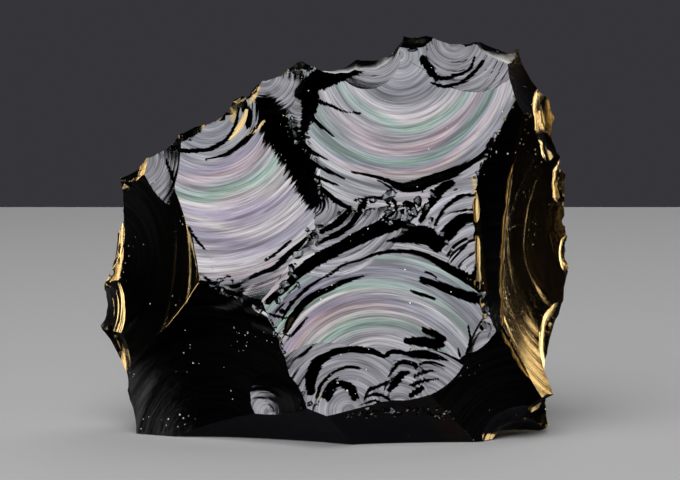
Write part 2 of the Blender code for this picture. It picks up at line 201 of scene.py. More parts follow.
# Scars at the edge are moved out until no point of the outline is cut away.
CLEAR_OF_RIM = ("left_side", "right_side", "top_right", "foot_left", "foot_right", "back_left",
                "back_top_left", "back_top_right", "back_right", "back_middle", "back_low")
# The three great scars curl up at their far ends: distance from the blow, then rise per mm squared.
CURLS = {"great_left": (40.0, 0.008), "great_right": (36.0, 0.008), "great_low": (34.0, 0.010)}
# How far the rings' middle runs ahead of the ring, as a share of its radius.
LEADS = {"great_left": 0.20, "great_right": 0.05}
# Height of the ripples.
RIPPLES = {"great_left": 0.055, "great_right": 0.055, "great_low": 0.05, "tongue": 0.12,
           "striped": 0.35, "low_left": 0.07, "left_side": 0.12, "right_side": 0.10}
OTHER_RIPPLES = 0.08
# Tears that run out from a blow: distance they start and end, clock angle, half spread in degrees,
# spacing and height.
TEARS = {"great_low": (16, 26, 60, 30, 2.4, 0.12)}

# Chips: the great scar they break, their middle (x, z), facing (degrees round from -Y and up),
# width and height, hollow, depth below the great scar, roll, clock angle of the blow and how far
# out it fell in half sizes, ripple spacing and height.
CHIPS = {
    "ridge_left": ("great_left", (-15, 84), (-16, 20), (11, 10), 0.7, 0.5, 20, 330, 1.3, 2.0, 0.15),
    "ridge_right": ("great_left", (-9.5, 80), (2, 18), (5, 8), 0.5, 0.3, 10, 10, 1.3, 1.6, 0.12),
    "ledge_facet": ("great_right", (-2.5, 56.5), (-8, 16), (7, 6), 0.4, 0.5, 30, 300, 1.3, 1.6, 0.1),
    "shoulder_scar": ("left_side", (-44, 64), (-26, 16), (10, 18), 1.0, 1.6, 0, 300, 1.3, 2.2, 0.2),
    "toe_shell_1": ("great_low", (3.2, 12), (4, 20), (21, 20), 1.2, 0.5, 0, 180, 0.25, 2.4, 0.14),
    "toe_shell_2": ("great_low", (10.5, 9.5), (7, 18), (10, 8), 0.8, 0.6, 10, 185, 0.6, 2.0, 0.14),
    "toe_shell_3": ("great_low", (16, 14), (8, 20), (10, 12), 0.9, 0.5, -10, 190, 0.7, 2.0, 0.14),
    "toe_shell_4": ("great_low", (23.5, 16), (10, 20), (15, 11), 0.9, 0.5, -32, 200, 0.9, 2.0, 0.14),
    "knee_chip": ("great_low", (34.5, 26), (14, 4), (6, 16), 0.8, 0.4, -14, 150, 1.3, 2.4, 0.2),
    "toe_left_shell": ("low_left", (-16.5, 11), (-24, -2), (14, 11), 1.2, 0.6, -10, 200, 0.5, 2.2, 0.2),
    "left_rim_scar": ("left_side", (-56, 28), (-58, 12), (13.5, 17), 1.4, 0.4, 0, 270, 1.3, 2.6, 0.25),
    "left_notch": ("left_side", (-55, 48), (-72, 4), (9.5, 17), 1.2, 0.4, 0, 270, 1.3, 2.4, 0.2),
    "left_ankle_scar": ("left_side", (-52, 14.5), (-62, -14), (10.5, 14.5), 1.2, 0.5, 0, 230, 1.3, 2.4,
                        0.2),
    "top_scar": ("great_right", (29, 94.5), (2, 17), (18, 19), 1.2, 0.4, 0, 0, 0.4, 2.4, 0.2),
    "top_step": ("great_right", (10, 90), (-4, 22), (10.5, 10.5), 0.8, 0.3, 0, 350, 1.3, 2.4, 0.2),
    "right_upper_scar": ("right_side", (52.5, 73), (66, 12), (8, 22), 1.4, 0.5, 0, 30, 1.3, 2.6, 0.25),
    "right_lower_scar": ("right_side", (52.5, 22), (66, -6), (8, 24), 1.4, 0.5, 10, 120, 1.3, 2.6, 0.25),
    "foot_scar": ("low_right", (44, 5), (26, -34), (14.5, 10.5), 1.4, 0.4, 0, 160, 1.3, 2.4, 0.2),
}

# Lines drawn on the scars, read off the photograph: (x, y, half width) in its pixels. A step is a small
# scarp with a painted dark line, a fold a pale scarp that faces the blow, a band a crisp painted dark
# line, a shade a torn painted dark zone, a fray one with long teeth, and gold a painted gold reflection.
# The dark lines are painted shade where ripple faces would mirror the dark room; on low_left the folds
# are also painted pale, a painted highlight.
STROKES = {
    ("step", "great_left"): (
        ((162, 147, 0.5), (172, 148, 1.2), (184, 150.5, 1.8), (197, 151.5, 1.7), (210, 149, 1.5),
         (222, 143, 1.4), (231, 134, 1.2), (236, 122, 1), (238, 108, 0.7)),
        ((206, 159, 0.4), (216, 157.5, 1), (228, 153, 1.6), (240, 145, 2), (250, 136, 2), (258, 125, 1.6),
         (263, 112, 1.2)),
        ((249, 279, 0.4), (262, 273, 1.1), (275, 266, 2), (290, 252, 2.4), (300, 243, 2), (307, 237, 1)),
        ((266, 260, 0.3), (278, 252, 0.8), (291, 241, 0.4)),
        ((230, 286, 0.6), (235, 287, 0.8), (241, 284, 0.4)),
        ((205, 276, 0.6), (215, 283, 1.5), (222, 280, 0.6), (228, 276, 0.5), (233, 283, 0.5)),
        ((222, 294, 0.5), (235, 294.5, 1), (243, 294, 0.5)),
        ((188, 228, 0.5), (196, 240, 0.8), (204, 250, 0.4)),
        ((165, 163, 0.6), (170, 172, 1.3), (173, 185, 0.9), (175, 200, 0.6)),
    ),
    ("step", "great_right"): (
        ((318, 100, 1.2), (330, 105, 1), (345, 112, 0.5), (360, 114, 0.3)),
        ((312, 118, 1.1), (322, 127, 1.1), (334, 136, 0.4)),
        ((302, 142, 1.4), (311, 151, 1.5), (328, 160, 0.5)),
        ((308, 172, 1), (322, 178, 1.2), (338, 184, 0.4)),
        ((308, 179, 0.8), (317, 186, 1.6), (330, 196, 2), (343, 205, 1.6), (350, 209, 0.5)),
        ((352, 171, 0.4), (372, 176.5, 0.9), (388, 180, 1.8), (402, 187, 3.8), (418, 184, 5.5),
         (435, 179, 4.4), (450, 174, 3.6), (466, 166, 2.6), (484, 153, 2.2), (492, 138, 1.4)),
        ((310, 160, 0.7), (326, 170, 0.9), (345, 178, 0.4)),
        ((355, 199, 0.8), (370, 196.5, 1), (386, 197.5, 1.2), (394, 194, 1.2), (392, 188, 0.8),
         (384, 183, 0.6), (378, 181, 0.3)),
        ((430, 82, 0.5), (445, 86, 1.2), (460, 83, 1.4), (474, 74, 1.6), (484, 62, 1.4)),
        ((427, 72, 1.2), (440, 78, 1.5), (455, 77, 1.4), (468, 69, 1.2), (476, 58, 0.8)),
    ),
    ("step", "tongue"): (
        ((384, 199, 0.5), (389, 206, 0.8), (386, 215, 0.8), (378, 223, 0.4)),
        ((391, 199, 0.8), (395, 206, 1.2), (393, 213, 1.2), (386, 219, 0.7)),
    ),
    ("step", "great_low"): (
        ((284, 316, 1), (293, 303, 1.2), (303, 292, 1.1), (318, 281, 0.9), (330, 274, 0.7),
         (345, 265, 0.7), (360, 259, 0.8), (378, 253, 1.2), (398, 250.5, 1.8), (418, 254, 2.2),
         (436, 262, 3), (455, 273, 4.4), (470, 281, 5.2), (484, 289, 4.4)),
        ((286, 330, 2.6), (292, 317, 3.6), (302, 305, 3.6), (314, 296, 3), (328, 288.5, 2.4),
         (342, 282, 1.7), (354, 278.5, 1), (363, 276.5, 0.3)),
        ((291, 337, 1), (298, 328, 1.2), (307, 317, 0.4)),
        ((283, 300, 0.4), (290, 292, 0.5), (299, 283, 0.3)),
        ((275, 311, 0.6), (280, 307, 0.7), (284, 303, 0.3)),
        ((425, 272, 0.3), (431, 275, 0.7), (438, 279, 0.4)),
        ((410, 291, 0.3), (422, 294, 0.8), (434, 299, 0.3)),
        ((300, 356, 0.4), (305, 354, 1), (311, 347, 0.3)),
        ((468, 326, 0.7), (470, 340, 1), (466, 355, 0.8)),
        ((457, 349, 0.6), (461, 357, 0.6)),
    ),
    ("step", "toe_shell_1"): (
        ((318, 397, 1.2), (322, 385, 1.2), (329, 376, 1.2), (340, 369, 1), (350, 367, 0.8),
         (360, 368.5, 0.3)),
        ((322, 396, 0.8), (327, 387, 1), (337, 378, 0.3)),
    ),
    ("step", "toe_shell_2"): (
        ((364, 399, 0.8), (370, 391, 1.2), (380, 386.5, 0.9), (388, 382, 0.7)),
        ((367, 397, 0.7), (376, 395, 1.2), (385, 397, 1), (391, 402, 0.5)),
        ((367, 404, 0.7), (376, 401.5, 1), (384, 404, 0.7)),
    ),
    ("step", "toe_shell_3"): (
        ((391, 371, 0.7), (397, 363.5, 1.2), (404, 361.5, 1), (412, 365, 1.4), (416, 367, 0.7)),
    ),
    ("step", "toe_shell_4"): (
        ((414, 369, 0.7), (420, 363.5, 1), (430, 361.5, 0.7), (444, 365, 0.3)),
        ((415, 378, 0.8), (423, 373, 1.2), (434, 371, 0.7)),
        ((412, 386, 1), (422, 381, 1.2), (440, 378, 0.5)),
    ),
    ("step", "striped"): (
        ((436, 225, 0.7), (444, 211, 1.4), (455, 200.5, 1.8), (464, 196, 1.2)),
        ((447, 256, 0.7), (455, 246, 1.4), (466, 239, 0.9)),
        ((452, 262, 0.5), (462, 250, 0.7), (470, 241, 0.4)),
    ),
    ("fold", "low_left"): (
        ((246, 310, 0.8), (262, 312, 1.8), (276, 317, 2.4), (284, 320, 1.8)),
        ((254, 325, 0.6), (268, 330, 1.3), (286, 337, 1.3)),
        ((215, 307, 0.5), (228, 306, 1.5), (238, 301, 1.5), (244, 297, 0.7)),
    ),
    ("band", "tongue"): (
        ((322, 232, 1.2), (334, 225, 2.6), (344, 217, 2.6), (351, 209, 1.4)),
        ((318, 243, 0.7), (330, 238, 1.6), (343, 231, 2), (353, 222, 2.2), (360, 211, 2.6),
         (364, 201, 2.2)),
    ),
    ("band", "great_low"): (
        ((268, 301, 1.5), (283, 288, 2.6), (300, 271, 4.6), (320, 259, 5.2), (340, 247.5, 5.4),
         (360, 238, 6), (380, 229, 6.2), (397, 224, 4.6), (404, 224, 2)),
        ((388, 242, 0.5), (402, 238, 3.2), (415, 234, 8), (428, 238, 8), (436, 247, 4)),
        ((399, 352, 0.7), (408, 354, 1.6), (420, 355, 3.2), (434, 356.5, 2.4), (446, 360, 0.6)),
        ((311, 392, 3.4), (311, 378, 5), (318, 364, 4.6), (330, 355, 3), (345, 350, 2.6),
         (360, 349.5, 2.6), (373, 352.5, 2.2), (384, 356.5, 1.2), (392, 352.5, 1.2), (400, 352.5, 1.2)),
    ),
    ("band", "toe_shell_3"): (
        ((390, 390, 1.8), (396, 381, 3.2), (403, 375, 2.4), (409, 373, 0.8)),
    ),
    ("band", "toe_shell_4"): (
        ((410, 397, 1.3), (416, 392, 1.6), (422, 388, 0.6)),
    ),
    ("band", "striped"): (
        ((420, 222, 1.2), (428, 206, 2.6), (440, 191, 4), (452, 183, 2.6)),
        ((477, 222, 1.2), (479, 245, 1.4), (478, 265, 2.4), (474, 276, 2.4)),
    ),
    ("shade", "great_left"): (
        ((243, 102, 1.2), (249, 114, 2), (248, 124, 1)),
    ),
    ("shade", "great_right"): (
        ((301, 93, 4), (310, 97, 6), (309, 110, 5), (306, 125, 2.2), (304, 137, 0.8)),
        ((308, 86, 5), (322, 78, 8), (338, 73, 6), (352, 70, 4), (366, 66, 2)),
        ((424, 60, 1.6), (430, 70, 1.6), (437, 78, 0.8)),
    ),
    ("shade", "great_low"): (
        ((422, 280, 0.6), (438, 285, 1.8), (458, 293, 2.8), (480, 300, 3)),
        ((406, 341, 0.6), (418, 341, 2.2), (432, 343, 2.8), (441, 346, 1)),
        ((424, 331, 0.3), (436, 336, 0.8), (444, 340, 0.3)),
    ),
    ("shade", "toe_shell_1"): (
        ((328, 397, 1.6), (332, 388, 2), (341, 384, 1), (350, 388, 1.6), (355, 397, 1.6)),
    ),
    ("shade", "striped"): (
        ((440, 246, 1.8), (450, 231, 4.6), (461, 221, 3.8), (472, 217, 2.4)),
    ),
    ("fray", "great_left"): (
        ((266, 106, 2), (272, 118, 6), (280, 132, 9), (290, 148, 6.5), (300, 167, 4), (308, 184, 2.6),
         (316, 200, 1)),
    ),
    ("gold", "great_left"): (
        ((231, 138, 0.6), (239, 129, 1.5), (245, 119, 1.6), (247, 110, 0.8)),
        ((251, 103, 0.8), (255, 96, 1.4), (259, 89, 1)),
        ((249, 136, 0.3), (257, 130, 0.8), (265, 122, 0.3)),
        ((232, 121, 0.7), (235, 114, 1.2), (236, 108, 0.6)),
    ),
    ("gold", "striped"): (
        ((474, 178, 0.7), (477, 200, 1.3), (479, 225, 1.6), (480, 250, 1.6), (483, 275, 1.6),
         (486, 292, 1)),
    ),
}
# Kinds of stroke that paint shade into the film.
SHADE_PAINT_KINDS = ("step", "band", "shade", "fray")
SOFTNESS = {"fold": 0.4, "band": 0.45, "shade": 1.2, "fray": 4.5, "gold": 0.4}
STROKE_REACH = 8
SCARP_REACH = 12
SCARP_SLOPE = 0.40
SCARP_FALL = 2.2
# Lines are placed to the nearest half millimetre, and are this wide per pixel and at least.
PLACE_GRID = 0.5
WIDTH_PER_PIXEL = 0.245
LEAST_WIDTH = 0.1

# Arrises that carry nicks: the two scars, the corners they run between and the size of the nicks.
ARRISES = (
    ("great_left", "great_right", "ridge_top", "middle", 1.0),
    ("great_left", "low_left", "left_shoulder", "waist", 1.2),
    ("great_left", "great_low", "waist", "ledge", 1.7),
    ("great_left", "tongue", "ledge", "middle", 1.7),
    ("great_right", "tongue", "middle", "peak_right", 0.9),
    ("great_right", "great_low", "peak_right", "striped_left", 1.8),
    ("great_right", "striped", "striped_left", "striped_top", 1.2),
    ("great_low", "striped", "striped_left", "right_waist", 1.2),
    ("great_left", "left_side", "left_rim_top", "left_edge", 0.8),
    ("great_left", "left_side", "left_edge", "left_shoulder", 0.8),
    ("great_right", "band", "notch_in", "striped_top", 0.8),
    ("great_low", "low_left", "waist", "toe_left", 0.8),
    ("great_low", "band", "right_waist", "right_knee", 0.6),
    ("great_low", "low_right", "right_knee", "toe_right", 0.8),
    ("great_low", "under_right", "toe_left", "toe_right", 1.9),
    ("low_left", "under_left", "toe_left", "left_toe", 1.3),
    ("low_left", "left_side", "left_shoulder", "left_hip", 1.2),
    ("low_right", "under_right", "toe_right", "rim 29", 1.2),
    ("great_right", "top_right", "notch_in", "right_rim_top", 0.9),
    ("top_right", "right_side", "notch_in", "notch_out", 0.9),
)
# Grooves worn along arrises: pairs of scars and the corners between them, radius and depth.
GROOVES = (
    ((("band", "right_side", "band_top", "band_mid"), ("band", "right_side", "band_mid", "band_low"),
      ("low_right", "right_side", "band_low", "right_hip")), 1.5, 0.45),
    ((("striped", "band", "striped_top", "right_waist"),
      ("great_low", "band", "right_waist", "right_knee")), 1.3, 0.5),
    ((("great_left", "left_side", "left_edge", "left_shoulder"),
      ("low_left", "left_side", "left_shoulder", "left_hip")), 1.0, 0.28),
)
# Crushed places: the scar, middle (x, z), size, number of small breaks and their size.
CRUSHED = (
    ("great_right", (15.5, 57.5), (4.5, 2.5), 10, 1.5),
    ("great_right", (21, 57.5), (2.5, 3.0), 8, 1.4),
    ("great_low", (36, 33), (1.5, 8), 14, 1.0),
    ("great_left", (-10.5, 77), (1.6, 4.0), 12, 1.0),
    ("great_left", (-28, 38), (4.5, 1.4), 12, 0.9),
    ("great_left", (-13, 39.5), (4.5, 4.5), 14, 0.8),
    ("great_left", (-5, 53), (2.0, 4.0), 12, 0.9),
    ("great_low", (-9, 11), (3.0, 1.5), 12, 0.8),
    ("great_low", (8, 8.2), (12, 1.0), 34, 0.8),
    ("great_low", (23, 8.0), (5, 1.5), 12, 0.7),
)
NICK_SPACING = 1.5
NICK_BATCHES = 4
GROOVE_POINTS = 14
GROOVE_SIDES = 20
SWAY_RATES = (0.3, 0.7, 1.3, 2.1)

FRONT = ("great_left", "great_right", "great_low", "tongue", "striped", "low_left")
LINED = FRONT[:5]
OUTER = FRONT + ("under_left", "under_right", "low_right")
TOES = tuple(name for name in CHIPS if name.startswith("toe_shell"))
FRONT_CHIPS = tuple(name for name in CHIPS if CHIPS[name][0].startswith("great"))
PALE = FRONT + FRONT_CHIPS + ("shoulder_scar", "toe_left_shell")
# Size of the mesh on a scar, across the rings and round them.
FRONT_STEPS = (0.34, 0.5)
SIDE_STEPS = (0.55, 0.95)
BACK_STEPS = (0.9, 2.4)
CHIP_STEPS = (0.32, 0.6)

# The film: pastel bands by distance from the blow.
PINK = (0.92, 0.78, 0.84)
LILAC = (0.62, 0.58, 0.74)
BLUE = (0.60, 0.68, 0.78)
GREEN = (0.58, 0.78, 0.70)
PEARL = (0.72, 0.71, 0.78)
WHITE = (1.0, 0.95, 0.99)
GREY = (0.52, 0.53, 0.60)
SHEEN = {
    "great_left": ((0, PEARL), (9, GREY), (12, PEARL), (15, LILAC), (17, PINK), (19, PEARL),
                   (22, GREEN), (24, WHITE), (26, LILAC), (28, WHITE), (30, LILAC), (33, WHITE),
                   (36, PINK), (38, GREY), (40, PINK), (42, PEARL), (44, GREEN), (47, PEARL),
                   (60, PEARL)),
    "great_right": ((0, PEARL), (10, GREY), (13, PEARL), (15, WHITE), (17, GREEN), (19, PEARL),
                    (21, PINK), (23, GREY), (25, GREEN), (26.5, BLUE), (28, PINK), (29.5, WHITE),
                    (31, GREY), (34, PEARL), (37, WHITE), (40, GREY), (60, PEARL)),
    "great_low": ((0, PEARL), (12, GREY), (14, PEARL), (16, WHITE), (18, PEARL), (20, GREEN),
                  (23, PINK), (25, LILAC), (27, WHITE), (28.5, GREEN), (30, GREY), (32, LILAC),
                  (34, GREEN), (36, PINK), (38, WHITE), (41, PEARL), (60, PEARL)),
}
# Where the pastels are strongest on each great scar: x, z and size.
GLOW = {"great_left": (-24, 58, 14), "great_right": (24, 70, 16), "great_low": (-3, 31, 14)}
SILVER = (0.91, 1.0, 1.05)
RICHNESS = 1.35
# Gold tint of broken edges and grooves: a painted reflection of the warm lamps.
GOLD_EDGE_GLINT = (1.0, 0.74, 0.36)
# Painted gold reflection along the gold strokes.
GOLD_GLINT_FILM = np.array((1.5, 1.08, 0.46))
# Broken edges get a painted gold reflection left and right of these x, and in the upper left beyond this
# (x, z).
GOLD_LEFT = -38
GOLD_RIGHT = 40
GOLD_UPPER_LEFT = (-12, 76)
# Film of right_side: darkened and warm, painted shade with a painted warm reflection.
WARM_SHADED_FILM = (0.42, 0.31, 0.15)
# Film brightness per great scar, other pale scars and chips: lower on the lower scar and the chips, painted
# shade.
BRIGHTNESS = {"great_left": 1.0, "great_right": 0.92, "great_low": 0.86}
SCAR_BRIGHTNESS = 0.95
STREAK_SHIFT = 3.7
CHIP_BRIGHTNESS = 0.72
# Darkened film on scars that would mirror the dark room: painted shade.
SHADE_PAINTED_FILM = {"low_left": 0.1, "low_right": 0.2, "band": 0.22, "left_side": 0.26, "top_right": 0.25,
        "back_left": 0.35}
# Edges that bend more than this, in degrees, are sharp: anywhere, between scars, and on nicks.
CREASE = 22.0
SCAR_CREASE = 6.0
NICK_CREASE = 3.0


def corner(name):
    """The named corner, or the numbered point of the outline."""
    if name.startswith("rim "):
        return np.array(RIM[int(name[4:])])
    return np.array(CORNERS[name])


def unit(vector):
    """The vector at length one."""
    return vector / np.linalg.norm(vector)


def units(vectors):
    """Many vectors at length one."""
    return vectors / np.linalg.norm(vectors, axis=1)[:, None]


def facing(azimuth, elevation):
    """Unit vector, in degrees round from -Y towards +X and up from level."""
    turn = math.radians(azimuth)
    up = math.radians(elevation)
    return np.array([math.sin(turn) * math.cos(up), -math.cos(turn) * math.cos(up), math.sin(up)])


def smooth(value):
    """Smooth step from 0 to 1."""
    value = np.clip(value, 0, 1)
    return value * value * (3 - 2 * value)


class Bowl:
    """Part of a sphere that hollows the rock, measured from the point where the blow fell."""

    def __init__(self, points, radius, blow, normal=None):
        points = np.array(points, float)
        self.middle = points.mean(0)
        away = points - self.middle
        if normal is None:
            normal = np.linalg.svd(away)[2][2]
            if normal @ (self.middle - np.array(MIDDLE)) < 0:
                normal = -normal
        flat = away - np.outer(away @ normal, normal)
        self.normal = normal
        self.radius = radius
        self.centre = self.middle + normal * math.sqrt(radius ** 2 - (flat ** 2).sum(1).mean())
        self.fit(points)
        self.stretch = None
        self.aim(blow)
        self.reach = self.polar(points)[0].max()

    def fit(self, points):
        """Move the centre until the sphere runs through the points as nearly as it can."""
        for _ in range(FIT_ROUNDS):
            away = points - self.centre
            length = np.linalg.norm(away, axis=1)
            move = np.linalg.lstsq(-away / length[:, None], self.radius - length, rcond=FIT_CUTOFF)[0]
            self.centre = self.centre + move

    def aim(self, blow):
        """Put the rings' own axis through the blow."""
        self.blow = self.centre + unit(np.array(blow, float) - self.centre) * self.radius
        self.axis = (self.centre - self.blow) / self.radius
        across = self.middle - self.blow
        self.across = unit(across - self.axis * (across @ self.axis))
        self.side = np.cross(self.axis, self.across)

    def polar(self, points):
        """Distance along the bowl from the blow, and angle round it, of many points."""
        away = points - self.centre
        cosine = (away @ (self.blow - self.centre)) / np.linalg.norm(away, axis=1) / self.radius
        angle = np.arctan2(away @ self.side, away @ self.across)
        return np.arccos(np.clip(cosine, -1, 1)) * self.radius, angle

    def places(self, distance, angle):
        """Points of the plain bowl at distances and angles."""
        lean = distance / self.radius
        flat = self.radius * np.sin(lean)
        deep = self.radius * (1 - np.cos(lean))
        local = np.stack([flat * np.cos(angle), flat * np.sin(angle), deep], -1)
        return local @ np.stack([self.across, self.side, self.axis]) + self.blow

    def clock(self, degrees):
        """Angle round the bowl of a clock direction seen from -Y."""
        turn = math.radians(degrees)
        way = np.array([math.sin(turn), 0, math.cos(turn)])
        return math.atan2(way @ self.side, way @ self.across)

    def move_out(self, points):
        """Move the bowl out of the rock until it cuts none of the points."""
        least = min(np.linalg.norm(np.array(p) - self.centre) - self.radius for p in points)
        step = max(0.0, RIM_CLEARANCE - least)
        self.centre = self.centre + self.normal * step
        self.blow = self.blow + self.normal * step

    def depth_at(self, x, z):
        """Y of the bowl's near side, seen from -Y."""
        square = self.radius ** 2 - (x - self.centre[0]) ** 2 - (z - self.centre[2]) ** 2
        return self.centre[1] + math.sqrt(max(square, 0.0))


def chip_bowl(middle, normal, size, hollow, roll, clock, blow_out):
    """A small bowl of its own facing, width and height."""
    up = np.array([0.0, 0.0, 1.0])
    up = unit(up - normal * (up @ normal))
    right = np.cross(up, normal)
    half = math.sqrt(size[0] * size[1]) / 2
    radius = (half ** 2 + hollow ** 2) / (2 * hollow)
    angles = np.linspace(0, FULL_TURN, 12, endpoint=False)
    ring = [middle + half * (math.cos(a) * right + math.sin(a) * up) for a in angles]
    turn = math.radians(clock)
    blow = middle + half * blow_out * (math.sin(turn) * right + math.cos(turn) * up)
    bowl = Bowl(ring, radius, blow, normal)
    bowl.reach = half * CHIP_REACH
    lean = math.radians(roll)
    along = math.cos(lean) * right + math.sin(lean) * up
    bowl.stretch = (along, np.cross(normal, along), math.sqrt(size[0] / size[1]))
    return bowl


def all_bowls():
    """The bowl of each great scar and chip, by name."""
    bowls = {}
    for name, (corners, radius, blow, _spacing) in SCARS.items():
        bowls[name] = Bowl([corner(c) for c in corners], radius, blow)
        if name in CLEAR_OF_RIM:
            bowls[name].move_out(RIM)
    for name, (parent, (x, z), aim, size, hollow, sink, roll, clock, blow_out, *_relief) in CHIPS.items():
        normal = facing(*aim)
        middle = np.array([x, bowls[parent].depth_at(x, z), z]) - normal * sink
        bowls[name] = chip_bowl(middle, normal, size, hollow, roll, clock, blow_out)
    return bowls


def drift(distance, angle, seed, length, swing, waves=5):
    """Slow seeded change along the radius and round the ring, about -1 to 1."""
    dice = np.random.default_rng(seed)
    total = 0
    for _ in range(waves):
        rate = dice.uniform(0.5, 1.5) / length
        phase = dice.uniform(0, FULL_TURN)
        a, b = dice.normal(0, swing, 2)
        c, d = dice.normal(0, swing * 0.4, 2)
        turn = a * np.cos(angle) + b * np.sin(angle) + c * np.cos(2 * angle) + d * np.sin(2 * angle)
        total = total + np.sin(FULL_TURN * rate * distance + turn + phase)
    return total / math.sqrt(waves)


def saw(turns, teeth):
    """A rounded saw wave from -1 to 1: gentle up, steep down."""
    total = 0
    for k in range(1, teeth + 1):
        part = math.pi * k / (teeth + 1)
        total = total + math.sin(part) / part * np.sin(FULL_TURN * k * turns) / k
    return total * 2 / math.pi


def window(value, low, high, soft):
    """1 between low and high, falling to 0 over the soft width outside."""
    rise = np.clip((value - low) / soft + 1, 0, 1)
    fall = np.clip((high - value) / soft + 1, 0, 1)
    return smooth(rise * fall)


def ring_distance(distance, angle, lead):
    """Radius of the ring through a point, where the rings' middle runs ahead by the lead."""
    ahead = distance * np.cos(angle)
    return (np.sqrt((lead * ahead) ** 2 + (1 - lead ** 2) * distance ** 2) - lead * ahead) / (1 - lead ** 2)


def ripples(distance, angle, spacing, height, seed):
    """Rings of three sizes that grow away from the blow and fade in and out round the ring."""
    slow = drift(distance, angle, seed, 45, 1.2)
    quick = drift(distance, angle, seed + 50, 20, 2.5)
    lively = drift(distance, angle, seed + 90, 15, 4.0)
    growth = np.clip(distance / (spacing * 4), 0.2, 1)
    large = (0.6 + 0.5 * quick) * saw(distance / spacing + 0.5 * slow + 0.12 * quick, 4)
    middling = 0.3 * (0.6 + 0.5 * lively) * saw(distance * 2.3 / spacing + 0.8 * slow + 0.25 * quick, 3)
    small = np.sin(FULL_TURN * (distance / FINEST_RIPPLE + 1.2 * slow + 0.4 * lively))
    small = 0.08 * (0.5 + 0.5 * quick) * small
    return height * growth * (large + middling + small)


def tears(distance, angle, bowl, seed, start, end, clock, spread, spacing, height):
    """Fine ridges that run out from the blow, sharp on one side."""
    away = (angle - bowl.clock(clock) + math.pi) % FULL_TURN - math.pi
    lane = away * (start + end) / 2 / spacing
    wander = drift(distance, angle, seed, 12, 1.5)
    area = window(np.degrees(away), -spread, spread, 10) * window(distance, start, end, 5)
    strength = 0.6 + 0.5 * drift(distance, angle, seed, 8, 5)
    return height * area * strength * saw(lane + 0.5 * wander, 4)


def seen_at(x, y, bowl):
    """X and Z of the bowl's far side where the photograph's camera sees it at a pixel."""
    rise = math.radians(CAMERA_ELEVATION)
    back = np.array([0, -math.cos(rise), math.sin(rise)])
    up = np.array([0, math.sin(rise), math.cos(rise)])
    focus = CAMERA_DISTANCE * PIXELS_PER_MM
    ray = -back - up * (y - IMAGE_HEIGHT / 2) / focus
    ray = unit(ray + np.array([1, 0, 0]) * (x - IMAGE_WIDTH / 2) / focus)
    away = np.array(AIM) + CAMERA_DISTANCE * back - bowl.centre
    along = ray @ away
    reach = math.sqrt(max(along ** 2 - (away @ away - bowl.radius ** 2), 0)) - along
    place = away + bowl.centre + ray * reach
    return place[0], place[2]


def curved(stroke, bowl, parts=5):
    """The stroke as a smooth curve through its points, as (x, z, half width)."""
    points = []
    for x, y, half in stroke:
        place = [round(p / PLACE_GRID) * PLACE_GRID for p in seen_at(x, y, bowl)]
        points.append((*place, max(round(half * WIDTH_PER_PIXEL, 1), LEAST_WIDTH)))
    points = np.array(points)
    ends = np.concatenate([2 * points[:1] - points[1:2], points, 2 * points[-1:] - points[-2:-1]])
    share = (np.arange(parts) / parts)[:, None]
    made = []
    for a, b, c, d in zip(ends[:-3], ends[1:-2], ends[2:-1], ends[3:]):
        bend = 2 * a - 5 * b + 4 * c - d + share * (3 * (b - c) + d - a)
        made.append(b + 0.5 * share * (c - a + share * bend))
    return np.concatenate(made + [points[-1:]])


def all_curves(bowls):
    """The curves of all lines, by kind."""
    curves = {}
    for (kind, scar), strokes in STROKES.items():
        curves.setdefault(kind, []).extend(curved(stroke, bowls[scar]) for stroke in strokes)
    return curves


BOWLS = all_bowls()
CURVES = all_curves(BOWLS)


def along_stroke(x, z, stroke):
    """Distance from a stroke, positive on its far side, and its half width at the nearest point."""
    nearest = np.full(x.shape, 1e9)
    signed = np.zeros(x.shape)
    half = np.ones(x.shape)
    for (ax, az, aw), (bx, bz, bw) in zip(stroke[:-1], stroke[1:]):
        length = math.hypot(bx - ax, bz - az)
        part = np.clip(((x - ax) * (bx - ax) + (z - az) * (bz - az)) / length ** 2, 0, 1)
        gap = np.hypot(x - ax - part * (bx - ax), z - az - part * (bz - az))
        side = np.sign((x - ax) * (bz - az) - (z - az) * (bx - ax))
        closer = gap < nearest
        nearest = np.where(closer, gap, nearest)
        signed = np.where(closer, gap * np.where(side == 0, 1, side), signed)
        half = np.where(closer, aw + part * (bw - aw), half)
    return signed, half


def close_strokes(kinds, x, z, reach):
    """Every stroke of the kinds that comes near: kind, curve, which places, distance, half width."""
    for kind in kinds:
        for stroke in CURVES[kind]:
            low = stroke.min(0) - reach
            high = stroke.max(0) + reach
            chosen = (x > low[0]) & (x < high[0]) & (z > low[1]) & (z < high[1])
            if chosen.any():
                yield kind, stroke, chosen, *along_stroke(x[chosen], z[chosen], stroke)


def outward_of(stroke, signed, blow):
    """Distance across the stroke, positive on the side away from the blow."""
    blow_side = along_stroke(np.array([blow[0]]), np.array([blow[2]]), stroke)[0][0]
    return signed * (-1 if blow_side > 0 else 1)


def scarps(places, blow):
    """Small scarps along the strokes, raised on the side away from the blow."""
    x, z = places[..., 0], places[..., 2]
    total = np.zeros(x.shape)
    for kind, stroke, chosen, signed, half in close_strokes(("step", "fold"), x, z, SCARP_REACH):
        outward = outward_of(stroke, signed, blow) * (1 if kind == "step" else -1)
        rise = smooth(outward / (2 * half) + 0.5)
        fall = np.exp(-np.clip(outward - half, 0, None) / SCARP_FALL)
        inward = np.exp(-np.clip(-outward - half, 0, None) / SCARP_FALL)
        total[chosen] += SCARP_SLOPE * 2 * half * (rise * fall - 0.5 * inward * (1 - rise))
    return total


